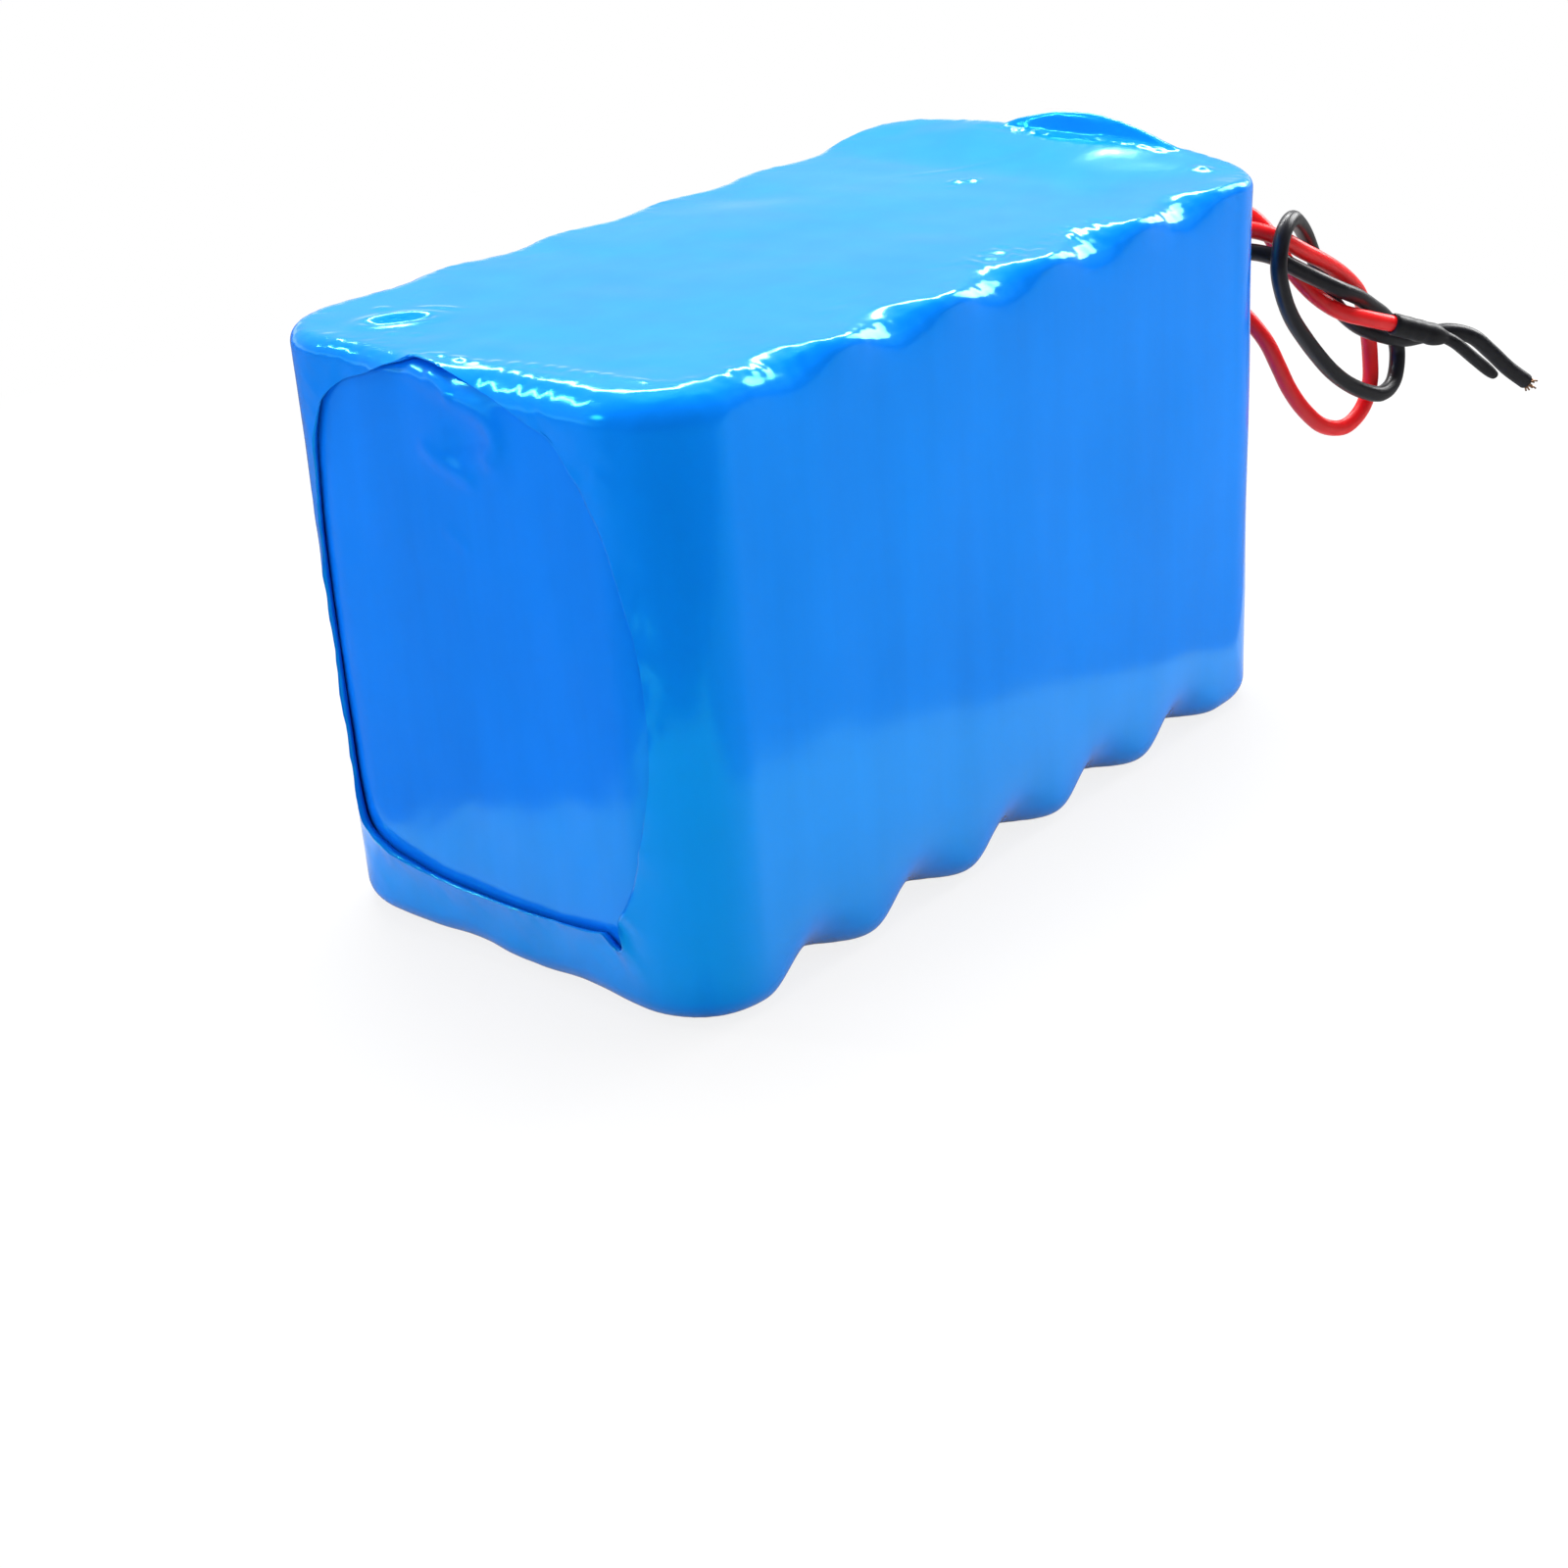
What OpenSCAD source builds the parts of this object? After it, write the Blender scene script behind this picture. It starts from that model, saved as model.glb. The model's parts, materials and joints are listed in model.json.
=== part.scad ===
// Shrink-wrapped battery pack: six by three upright round cells in two crossed films, with two leads.
// Millimetres. Origin at the middle of the underside, +X towards the end where the leads come out, +Z up.

/* [Cells] */
// Diameter of a cell over its wrapper
cell_d = 18.35; // [18.2:0.05:18.35]
// Distance between the centres of neighbouring cells
pitch = 18.4; // [18.4:0.1:18.8]
// Height of a cell between its two terminals
cell_h = 65; // [64.6:0.1:65.6]
// Wall of a cell's plastic wrapper
wrapper_t = 0.15; // [0.1:0.05:0.2]

/* [Films] */
// Thickness of each shrink film
film_t = 0.15; // [0.1:0.05:0.2]
// Slack between the inner and the outer film
film_gap = 0.25; // [0.2:0.05:0.3]
// Radius of the film's top edges where it lies over a cell
top_crest_r = 1.4; // [1.2:0.1:1.8]
// Radius of the film's top edges midway between two cells
top_notch_r = 3.6; // [3:0.2:4.4]
// Depth of the flutes between the cells, at the top edges
top_flute_depth = 1.1; // [0.7:0.1:1.3]
// How far the flutes run down from the top edges
top_flute_h = 7; // [6:0.5:9]
// Radius of the film's bottom edges where it lies over a cell
bottom_crest_r = 3; // [2.6:0.1:3.4]
// Radius of the film's bottom edges midway between two cells
bottom_notch_r = 8; // [6:0.5:9]
// Depth of the flutes between the cells, at the bottom edges
bottom_flute_depth = 1.6; // [0.8:0.1:1.8]
// How far the flutes run up from the bottom edges
bottom_flute_h = 12; // [9:1:12]
// Share of the fluting that the two small ends have
end_share = 0.3; // [0:0.05:0.3]
// Turn of the outer film's lip round the edges of the small ends, in degrees
lip_turn = 72; // [64:1:76]
// Turn of the inner film's lip round the top and bottom edges, in degrees
inner_lip_turn = 58; // [54:1:60]

/* [Boards and pads] */
// Thickness of the stiff board over each face of cell ends
board_t = 0.6; // [0.5:0.1:0.8]
// Thickness of the foam pad under each stiff board
foam_t = 1.1; // [1.1:0.1:1.3]
// Thickness of the insulating paper on the nickel
paper_t = 0.25; // [0.2:0.05:0.3]
// Thickness of the thin sheets on the sides and ends
sheet_t = 0.3; // [0.2:0.05:0.4]

/* [Nickel] */
// Thickness of the nickel strips and plates
nickel_t = 0.15; // [0.1:0.05:0.2]
// Width of a nickel strip along one row of cells
strip_w = 8; // [7:0.5:9]

/* [Protection board] */
// Length of the circuit board
bms_l = 60; // [56:1:62]
// Height of the circuit board
bms_h = 20; // [18:1:22]
// Thickness of the circuit board
bms_t = 1.6; // [1.2:0.2:1.6]
// Room for the parts on the circuit board
bms_room = 1.9; // [1.8:0.1:2.2]
// Thickness of the sheet over the circuit board
back_board_t = 0.6; // [0.4:0.1:0.8]
// Thickness of the pad between the circuit board and the cells
bms_pad_t = 0.4; // [0.3:0.1:0.5]

/* [Leads] */
// Outside diameter of each lead
lead_d = 2.2; // [2:0.1:2.2]
// Outside diameter of the thin sense wires
sense_d = 0.9; // [0.7:0.1:0.9]
// Room for the leads behind the sheet at the lead end
lead_room = 2.4; // [2.4:0.1:2.6]
// Diameter of the hole that both leads come out of
lead_hole_d = 8; // [7.6:0.2:8.4]
// Outside diameter of the cap on the red lead
cap_d = 3; // [2.8:0.1:3.2]
// Length of lead that the cap covers
cap_grip = 6.6; // [5:0.2:7]
// Diameter of the cap's shrunk tail
tail_d = 1.6; // [1.4:0.1:1.8]

/* [Hidden] */
cells_long = 6;
cells_wide = 3;
row_letters = "abc";
$fn = 48;

cell_names = [for (row = [0:cells_wide - 1]) for (i = [0:cells_long - 1])
    str("cell_", row_letters[row], i + 1)];

// Clear space between touching layers
slip = 0.05;
// Both films and the space round them
skin_t = 2 * film_t + film_gap + slip;
side_t = skin_t + 2 * slip + sheet_t;
board_depth = skin_t + 0.1;
lid_t = board_depth + board_t + foam_t + paper_t + nickel_t;
back_t = skin_t + slip + back_board_t + slip + bms_room + bms_t + bms_pad_t;

half_l = (cells_long * pitch + 2 * side_t + lead_room) / 2;
half_w = (cells_wide * pitch + side_t + back_t) / 2;
pack_h = cell_h + 2 * lid_t;
half_h = pack_h / 2;

// The film's upright corners are concentric with the corner cells of the front
corner_r = pitch / 2 + side_t;
core_x = half_l - corner_r;
core_y = half_w - corner_r;
core_z = half_h - corner_r;

block_x = -half_l + side_t + cells_long * pitch / 2;
block_y = -half_w + side_t + cells_wide * pitch / 2;
cells_z = lid_t;
cells_top = lid_t + cell_h;
block_far = block_x + cells_long * pitch / 2;
block_back = block_y + cells_wide * pitch / 2;
cell_r = cell_d / 2;
can_r = cell_r - wrapper_t - 0.02;

function cell_x(i) = block_x + (i - (cells_long - 1) / 2) * pitch;
function row_y(row) = block_y + (row - (cells_wide - 1) / 2) * pitch;

sheet_z = bottom_flute_h;
sheet_h = pack_h - 2 * bottom_flute_h;
sheet_inset = 1.2;
end_sheet_z = 7.6;
end_sheet_w = 38;

bms_x = 12;
bms_y = block_back + bms_pad_t;
bms_face_y = bms_y + bms_t;
pad_margin = 2;

// Middle of the hole in the lead end
hole_y = -12.6;
hole_z = 58.7;

// Columns of cells that the sense wires and the negative tab are level with
wire_column = 2;
tab_column = 3;
wire_x = cell_x(wire_column);
tab_x = cell_x(tab_column);
wire_z = cells_top + nickel_t + paper_t + foam_t / 2;
solder_r = 1.5;

// The cap's straight run on the red lead, and the middle lines of both leads from inside the pack
cap_start = [82.4, -33.3, 44.5];
cap_end = [89, -37.1, 41.6];
cap_axis = (cap_end - cap_start) / norm(cap_end - cap_start);
positive_route = [
    [53.2, -11.3, 64.6], [54.4, -12, 61.2], [57.4, -13.9, 60], [60.8, -15.8, 60.1], [63.6, -18.5, 60],
    [66.1, -21.4, 59.5], [68.7, -23.9, 58.1], [71.5, -25.5, 56.1], [74.7, -26.5, 54.2], [78, -27, 52.2],
    [81.2, -27.2, 50], [84.2, -27.1, 47.6], [86.9, -26.5, 44.9], [88.5, -26.4, 41.4],
    [88.6, -26.9, 37.6], [87.4, -27.7, 34], [85.2, -27.8, 30.9], [82, -27, 29.1], [78.6, -25.5, 29.9],
    [76.3, -23.8, 32.5], [74.7, -22.3, 35.7], [73.5, -21.2, 39.1], [72.4, -19.9, 42.6],
    [71.3, -17.8, 45.7], [70.2, -15.3, 48.4], [69.1, -12.8, 51.2], [68.3, -11.2, 54.6],
    [67.9, -11.6, 58.4], [68.3, -14.4, 60.9], [69.3, -18, 60.8], [70.6, -20.6, 58.3],
    [71.9, -22.2, 55], [73.5, -23.8, 51.8], [75, -26, 49], [76.8, -28.6, 46.9], [79.3, -31.3, 45.7]];
negative_route = [
    [55.2, -7.1, 56.9], [55.2, -8.6, 56.9], [55.7, -11.3, 56.9], [57.8, -14.7, 56.9], [60.8, -17.7, 57.1],
    [63.4, -20.9, 57.3],
    [66.3, -23.7, 56.4], [69.4, -25.6, 54.3], [72.6, -27.3, 52.2], [75.9, -28.9, 50.2],
    [79.6, -29.5, 48.4], [83.2, -29.6, 46.3], [86.8, -29.6, 44.1], [90, -29.3, 41.5], [91.4, -29.6, 37.7],
    [89.4, -30.3, 34.3], [85.4, -30.6, 33.5], [81.5, -30, 34.8], [77.9, -29.3, 36.8],
    [74.6, -28.7, 39.3], [71.7, -28.1, 42.2], [68.9, -27.6, 45.3], [66.3, -27.2, 48.5],
    [64.1, -27.1, 52.1], [62.8, -27.1, 56], [64.3, -26.7, 59.8], [68.1, -25.7, 61],
    [71.8, -24.6, 59.6], [75.1, -23.9, 57.1], [77.7, -23.6, 53.9], [79.4, -24.2, 50.2],
    [80.5, -25.8, 46.5], [82.2, -28.3, 43.6], [85.2, -30.5, 41.8], [88.9, -31.7, 40.5], [93, -32.7, 40.1],
    [96.8, -34.4, 40], [100.1, -36.4, 38.7], [102.9, -38, 36], [105.6, -39.5, 33.1], [108.5, -41, 30.6]];
// From the circuit board round the back corner and along the lead end
negative_inner_route = [
    [43, 28.2, 41.1], [45, 28, 43.6], [47.5, 27.5, 46.6], [50.5, 26, 50.1], [53.3, 23.1, 53.3],
    [55.1, 18.8, 55.6], [55.2, 13, 56.7], [55.2, 6, 56.9], [55.2, -1, 56.9], [55.2, -7, 56.9]];
// From the end of the cap's grip to the tip of its shrunk tail
tail_route = [
    cap_end + cap_axis, [91.3, -38.6, 40.1], [93.8, -39.9, 37.7], [97, -41.5, 34.7]];

// Film surface

// 1 midway between two cells of a row of n, 0 at the cells and past the end ones
function gap_wave(s, n) =
    abs(s) > (n - 1) / 2 * pitch ? 0 : (1 + cos(360 * (s / pitch + (n % 2) / 2))) / 2;

function notch_at(x, y) =
    abs(y) > core_y ? gap_wave(x - block_x, cells_long)
    : abs(x) > core_x ? end_share * gap_wave(y - block_y, cells_wide)
    : 0;

// Radius of the film's top or bottom edges, w from 0 over a cell to 1 between two cells
function edge_r(w, top) =
    top ? top_crest_r + (top_notch_r - top_crest_r) * w
    : bottom_crest_r + (bottom_notch_r - bottom_crest_r) * w;

// Distance from the pack's plan outline, negative inside
function plan_d(x, y) =
    let (qx = abs(x) - core_x, qy = abs(y) - core_y)
    min(max(qx, qy), 0) + norm([max(qx, 0), max(qy, 0)]) - corner_r;

// Distance from the pack's outer surface, negative inside
function film_d(p) =
    let (top = p.z > half_h,
         w = notch_at(p.x, p.y),
         r = edge_r(w, top),
         depth = half_h - abs(p.z - half_h),
         fade = pow(max(0, 1 - depth / (top ? top_flute_h : bottom_flute_h)), 2),
         a = plan_d(p.x, p.y) + (top ? top_flute_depth : bottom_flute_depth) * w * fade + r,
         b = r - depth)
    min(max(a, b), 0) + norm([max(a, 0), max(b, 0)]) - r;

ray_max = 60;
ray_steps = 26;

// Where a ray from inside the pack comes to the surface that lies inset below the outer one
function film_hit(from, dir, inset, lo = 0, hi = ray_max, n = ray_steps) =
    n == 0 ? from + dir * (lo + hi) / 2
    : let (mid = (lo + hi) / 2)
      film_d(from + dir * mid) < -inset ? film_hit(from, dir, inset, mid, hi, n - 1)
      : film_hit(from, dir, inset, lo, mid, n - 1);

function snap(p) = [for (v = p) round(v * 1000) / 1000];
function reversed(list) = [for (i = [len(list) - 1:-1:0]) list[i]];

// A ring of [u, v, angle]: corner angles above and below the core rectangle, and points along its sides
function ring(cu, cv, above, below, us, vs) = concat(
    [for (a = above) [cu, cv, a]],
    [for (u = reversed(us)) [u, cv, 90]],
    [for (a = above) [-cu, cv, 90 + a]],
    [for (v = reversed(vs)) [-cu, v, 180]],
    [for (a = below) [-cu, -cv, 180 + a]],
    [for (u = us) [u, -cv, 270]],
    [for (a = below) [cu, -cv, 270 + a]],
    [for (v = vs) [cu, v, 360]]);

// A tube's own axes are u, v and w, from the middle of the pack: w lies along X or along Z
function from_tube(p, along_x) = along_x ? [p[2], p[0], p[1]] : p;

// Stations are [w, tilt]: the ray's start along the tube and its turn towards the tube's end
function film_point(r, s, along_x, inset) =
    snap(film_hit(
        [0, 0, half_h] + from_tube([r[0], r[1], s[0]], along_x),
        from_tube([cos(s[1]) * cos(r[2]), cos(s[1]) * sin(r[2]), sin(s[1])], along_x),
        inset));

// Closed thin shell round a tube of film, open at both of its ends
module film_tube(rim, stations, along_x, outer, inner) {
    n = len(rim);
    m = len(stations);
    points = [for (inset = [outer, inner]) for (s = stations) for (r = rim)
        film_point(r, s, along_x, inset)];
    function at(layer, s, r) = (layer * m + s) * n + r % n;
    function quad(a, b, c, d) = [[a, b, c], [a, c, d]];
    walls = [for (s = [0:m - 2]) for (r = [0:n - 1]) each concat(
        quad(at(0, s, r), at(0, s + 1, r), at(0, s + 1, r + 1), at(0, s, r + 1)),
        quad(at(1, s, r), at(1, s, r + 1), at(1, s + 1, r + 1), at(1, s + 1, r)))];
    lips = [for (r = [0:n - 1]) each concat(
        quad(at(0, 0, r), at(0, 0, r + 1), at(1, 0, r + 1), at(1, 0, r)),
        quad(at(0, m - 1, r), at(1, m - 1, r), at(1, m - 1, r + 1), at(0, m - 1, r + 1)))];
    polyhedron(points, concat(walls, lips));
}

// Swept tubes

function unit(v) = v / norm(v);
function tangent(p, i) = unit(p[min(i + 1, len(p) - 1)] - p[max(i - 1, 0)]);

// Point between p[i] and p[i + 1] on a smooth curve through all the points
function midway(p, i) =
    let (a = p[max(i - 1, 0)], b = p[i], c = p[i + 1], d = p[min(i + 2, len(p) - 1)])
    (9 * (b + c) - a - d) / 16;
function smoothed(p) = concat([for (i = [0:len(p) - 2]) each [p[i], midway(p, i)]], [p[len(p) - 1]]);

// Side directions along the tube, each turned as little as possible from the one before
function sides(p, i = 0, last = [0, 0, 0]) =
    i == len(p) ? []
    : let (t = tangent(p, i),
           start = abs(t.z) < 0.9 ? [0, 0, 1] : [0, 1, 0],
           from = i == 0 ? start : last,
           side = unit(from - t * (from * t)))
      concat([side], sides(p, i + 1, side));

module swept(route, d, round_sides = 8) {
    n = round_sides;
    m = len(route);
    side = sides(route);
    rings = [for (i = [0:m - 1]) let (t = tangent(route, i), u = side[i], v = cross(t, u))
        for (k = [0:n - 1]) route[i] + d / 2 * (cos(360 * k / n) * u + sin(360 * k / n) * v)];
    walls = [for (i = [0:m - 2]) for (k = [0:n - 1]) let (a = i * n + k, b = i * n + (k + 1) % n) each [
        [a, a + n, b + n], [a, b + n, b]]];
    ends = [for (k = [1:n - 2]) each [[0, k, k + 1], [(m - 1) * n, (m - 1) * n + k + 1, (m - 1) * n + k]]];
    polyhedron(rings, concat(walls, ends));
}

// Plan outlines

outline_step = pitch / 8;
outline_margin = 0.5;

// Points along one long side or small end, at the inset where the film's edge begins to round
function side_inset(w) = edge_r(w, false) + bottom_flute_depth * w + outline_margin;

// Outline of the stiff boards, scalloped like the film's edges
module board_outline(extra = 0) {
    long_n = floor(core_x / outline_step);
    wide_n = floor(core_y / outline_step);
    xs = [for (i = [-long_n:long_n]) i * outline_step];
    ys = [for (i = [-wide_n:wide_n]) i * outline_step];
    function long_y(x) = half_w - extra - side_inset(notch_at(x, half_w));
    function end_x(y) = half_l - extra - side_inset(notch_at(half_l, y));
    corner = corner_r - extra - side_inset(0);
    function arc(sx, sy, a) = [for (t = [0:15:90])
        [sx * core_x + corner * cos(a + t), sy * core_y + corner * sin(a + t)]];
    polygon(concat(
        arc(1, 1, 0), [for (x = reversed(xs)) [x, long_y(x)]],
        arc(-1, 1, 90), [for (y = reversed(ys)) [-end_x(y), y]],
        arc(-1, -1, 180), [for (x = xs) [x, -long_y(x)]],
        arc(1, -1, 270), [for (y = ys) [end_x(y), y]]));
}

function lift(top, depth, t) = top ? pack_h - depth - t : depth;

module lid_layer(top, depth, t, extra = 0) {
    translate([0, 0, lift(top, depth, t)]) linear_extrude(t) board_outline(extra);
}

// Ribbon of metal along a folded line, seen from its edge
module ribbon(line, t) {
    last = len(line) - 1;
    function normal(a, b) = let (d = unit(b - a)) [-d.y, d.x];
    function mitre(i) =
        i == 0 ? normal(line[0], line[1])
        : i == last ? normal(line[last - 1], line[last])
        : let (s = normal(line[i - 1], line[i]) + normal(line[i], line[i + 1])) 2 * s / (s * s);
    polygon(concat(
        [for (i = [0:last]) line[i] + mitre(i) * t / 2],
        [for (i = [last:-1:0]) line[i] - mitre(i) * t / 2]));
}

// Films

film_blue = [0.1, 0.5, 0.88];
// Places along the pack where both films have points
film_grid = [for (i = [-15:15]) block_x + i * pitch / 6];

module outer_sleeve() {
    turns = [14, 24, 33, 39, 43, 47, 51, 58, lip_turn];
    above = [0, 24, 34, 40.5, 45, 49.5, 56, 66, 90];
    below = [0, 18, 33, 39, 45, 51, 57, 72, 90];
    along = [for (x = film_grid) [x, 0]];
    stations = concat(
        [for (t = reversed(turns)) [-core_x, -t]], along,
        [[core_x, 0]], [for (t = turns) [core_x, t]]);
    rim = ring(core_y, core_z, above, below, core_y * [-0.5, 0, 0.5], core_z * [-0.85, -0.4, 0.4, 0.85]);
    color(film_blue) film_tube(rim, stations, true, 0, film_t);
}

module inner_sleeve() {
    below = [28, 37, 43, 49, inner_lip_turn];
    above = [28, 35, 42, 45, 48, inner_lip_turn];
    along = [for (z = core_z * [-1, -0.85, 0.85, 1]) [z, 0]];
    stations = concat(
        [for (t = reversed(below)) [-core_z, -t]], along,
        [for (t = above) [core_z, t]]);
    corner = [0:18:90];
    rim = ring(core_x, core_y, corner, corner, film_grid, [for (i = [-2:2]) block_y + i * pitch / 2]);
    color(film_blue * 0.9) difference() {
        film_tube(rim, stations, false, film_t + film_gap, 2 * film_t + film_gap);
        lead_hole();
    }
}

module lead_hole() {
    translate([block_far, hole_y, hole_z]) rotate([0, 90, 0])
        cylinder(d = lead_hole_d, h = 2 * side_t + lead_room);
}

// Boards, foam, paper and sheets

module stiff_board(top) {
    color([0.75, 0.78, 0.62]) lid_layer(top, board_depth, board_t);
}

module top_board() {
    stiff_board(true);
}

module bottom_board() {
    stiff_board(false);
}

// Room for one sense wire and its soldered end, from start_y out to the back edge
module wire_channel(x, start_y, z, h) {
    width = sense_d + 0.5;
    translate([x - width / 2, start_y, z]) cube([width, half_w - start_y, h]);
    translate([x, start_y - solder_r, z]) cylinder(r = solder_r + 0.5, h = h);
}

sense_start_gap = 2;
first_start = row_y(2) + sense_start_gap;
second_start = row_y(1) + sense_start_gap;
positive_start = row_y(0) + sense_start_gap;

module foam_pad(top) {
    depth = board_depth + board_t;
    z = lift(top, depth, foam_t);
    color([0.93, 0.93, 0.9]) difference() {
        lid_layer(top, depth, foam_t, extra = 0.4);
        if (top) {
            wire_channel(wire_x, first_start, z - 1, foam_t + 2);
            wire_channel(tab_x, positive_start, z - 1, foam_t + 2);
        } else {
            wire_channel(wire_x, second_start, z - 1, foam_t + 2);
        }
    }
}

module top_foam_pad() {
    foam_pad(true);
}

module bottom_foam_pad() {
    foam_pad(false);
}

module insulating_paper(top) {
    depth = board_depth + board_t + foam_t;
    z = lift(top, depth, paper_t);
    spots = top ? [[wire_x, first_start], [tab_x, positive_start]] : [[wire_x, second_start]];
    color([0.72, 0.66, 0.5]) difference() {
        lid_layer(top, depth, paper_t, extra = 1.2);
        for (s = spots) translate([s.x, s.y - solder_r, z - 1]) cylinder(r = solder_r + 0.3, h = paper_t + 2);
    }
}

module top_paper() {
    insulating_paper(true);
}

module bottom_paper() {
    insulating_paper(false);
}

module front_sheet() {
    color([0.8, 0.78, 0.68])
        translate([-core_x + sheet_inset, -half_w + skin_t + 2 * slip, sheet_z])
            cube([2 * (core_x - sheet_inset), sheet_t, sheet_h]);
}

module back_board() {
    color([0.75, 0.78, 0.62])
        translate([-core_x + sheet_inset, half_w - skin_t - slip - back_board_t, sheet_z])
            cube([2 * (core_x - sheet_inset), back_board_t, sheet_h]);
}

// Blocks that hold the back sheet level with the circuit board's parts
module back_foam_blocks() {
    depth = back_t - skin_t - back_board_t - 3 * slip;
    blocks = [[-44, 13, 22, 44.5], [18, 13, 24, 10], [18, 47.5, 18, 11]];
    color([0.93, 0.93, 0.9])
        for (b = blocks) translate([b[0], block_back + slip, b[1]]) cube([b[2], depth, b[3]]);
}

module end_sheet(x) {
    translate([x, -end_sheet_w / 2, end_sheet_z]) cube([sheet_t, end_sheet_w, pack_h - 2 * end_sheet_z]);
}

module near_end_sheet() {
    color([0.8, 0.78, 0.68]) end_sheet(-half_l + skin_t + 2 * slip);
}

module lead_end_sheet() {
    color([0.8, 0.78, 0.68]) difference() {
        end_sheet(half_l - side_t);
        lead_hole();
    }
}

// Foam under the leads that keeps the end sheet flat
module lead_end_foam() {
    foam_z = 10;
    foam_h = 43.6;
    foam_w = 36;
    color([0.93, 0.93, 0.9])
        translate([block_far + slip, -foam_w / 2, foam_z]) cube([lead_room - 2 * slip, foam_w, foam_h]);
}

// Cells. Heights are from a cell's own negative end, and the middle row stands upside down

foot_r = 6.4;
foot_h = 0.35;
bead_z = 4;
bead_depth = 0.9;
crimp_drop = 0.65;
pocket_r = 6.2;
pocket_z = cell_h - 1.8;
crimp_z = cell_h - crimp_drop;

module at_cell(row, i) {
    down = row == 1;
    translate([cell_x(i), row_y(row), down ? cells_top : cells_z]) rotate([down ? 180 : 0, 0, 0]) children();
}

module at_each_cell() {
    for (row = [0:cells_wide - 1]) for (i = [0:cells_long - 1]) at_cell(row, i) children();
}

// Steel can with its stepped foot, rolled bead and crimped mouth
module cell(row, i) {
    bead = cell_h - bead_z;
    color([0.72, 0.73, 0.75]) at_cell(row, i) rotate_extrude() polygon([
        [0, 0], [foot_r, 0], [foot_r + 0.9, foot_h], [can_r - 0.6, foot_h], [can_r, foot_h + 0.6],
        [can_r, bead], [can_r - bead_depth, bead + 0.7], [can_r - bead_depth, bead + 1],
        [can_r - 0.15, bead + 1.6], [can_r - 0.15, crimp_z - 0.45], [can_r - 0.6, crimp_z],
        [pocket_r, crimp_z], [pocket_r, pocket_z], [0, pocket_z]]);
}

module cell_wrappers() {
    lip_r = 7.5;
    low = 0.12;
    high = cell_h - 0.17;
    inner_r = cell_r - wrapper_t;
    color([0.16, 0.45, 0.3]) at_each_cell() rotate_extrude() polygon([
        [lip_r, low], [cell_r, low], [cell_r, high], [lip_r, high], [lip_r, high - wrapper_t],
        [inner_r, high - wrapper_t], [inner_r, low + wrapper_t], [lip_r, low + wrapper_t]]);
}

// Positive terminal of each cell
module cell_caps() {
    cap_r = 5.5;
    color([0.8, 0.8, 0.82]) at_each_cell() rotate_extrude() polygon([
        [0, pocket_z + slip], [cap_r, pocket_z + slip], [cap_r, cell_h - 0.6], [cap_r - 0.9, cell_h],
        [0, cell_h]]);
}

module cell_gaskets() {
    color([0.2, 0.2, 0.22]) at_each_cell() translate([0, 0, pocket_z + slip]) difference() {
        cylinder(r = pocket_r - slip, h = 1.2);
        translate([0, 0, -1]) cylinder(r = 5.5 + slip, h = 4);
    }
}

module insulator_rings() {
    color([0.95, 0.95, 0.93]) at_each_cell() translate([0, 0, crimp_z + slip]) difference() {
        cylinder(r = can_r - 0.2, h = 0.2);
        translate([0, 0, -1]) cylinder(r = pocket_r + 0.1, h = 3);
    }
}

// Hot glue where four cells meet
module glue_beads() {
    bead_w = 7.2;
    bead_h = 24;
    color([0.9, 0.88, 0.78])
        for (row = [0:cells_wide - 2]) for (i = [0:cells_long - 2])
            translate([cell_x(i) + pitch / 2, row_y(row) + pitch / 2, half_h - bead_h / 2]) difference() {
                translate([-bead_w / 2, -bead_w / 2, 0]) cube([bead_w, bead_w, bead_h]);
                for (sx = [-1, 1]) for (sy = [-1, 1])
                    translate([sx * pitch / 2, sy * pitch / 2, -1])
                        cylinder(r = cell_r + 0.02, h = bead_h + 2);
            }
}

// Nickel

strip_over = 5;
bridge_w = 6;
nickel_colour = [0.78, 0.77, 0.73];
strip_l = (cells_long - 1) * pitch + 2 * strip_over;

module strip_outline(row) {
    translate([cell_x(0) - strip_over, row_y(row) - strip_w / 2]) square([strip_l, strip_w]);
}

// Two rows joined by a bridge at each column
module plate_outline(row) {
    strip_outline(row);
    strip_outline(row + 1);
    for (i = [0:cells_long - 1]) translate([cell_x(i) - bridge_w / 2, row_y(row)]) square([bridge_w, pitch]);
}

module nickel_layer(top) {
    color(nickel_colour) translate([0, 0, top ? cells_top : cells_z - nickel_t])
        linear_extrude(nickel_t) children();
}

module top_positive_strip() {
    nickel_layer(true) strip_outline(0);
}

module top_series_plate() {
    nickel_layer(true) plate_outline(1);
}

module bottom_series_plate() {
    nickel_layer(false) plate_outline(0);
}

module bottom_negative_strip() {
    nickel_layer(false) strip_outline(2);
}

// Tab from the positive strip, folded down between two cells at the lead end
tab_fold_x = 52.1;
tab_drop = 6.2;
tab_groove_w = 5;

module positive_tab() {
    from_y = row_y(0) + strip_w / 2;
    groove_y = row_y(0) + pitch / 2;
    to_y = groove_y + tab_groove_w / 2;
    from_x = cell_x(cells_long - 1);
    color(nickel_colour) {
        translate([from_x, from_y, cells_top]) cube([tab_fold_x - from_x, to_y - from_y, nickel_t]);
        translate([tab_fold_x - nickel_t, to_y - tab_groove_w, cells_top - tab_drop])
            cube([nickel_t, tab_groove_w, tab_drop + nickel_t]);
    }
}

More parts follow.
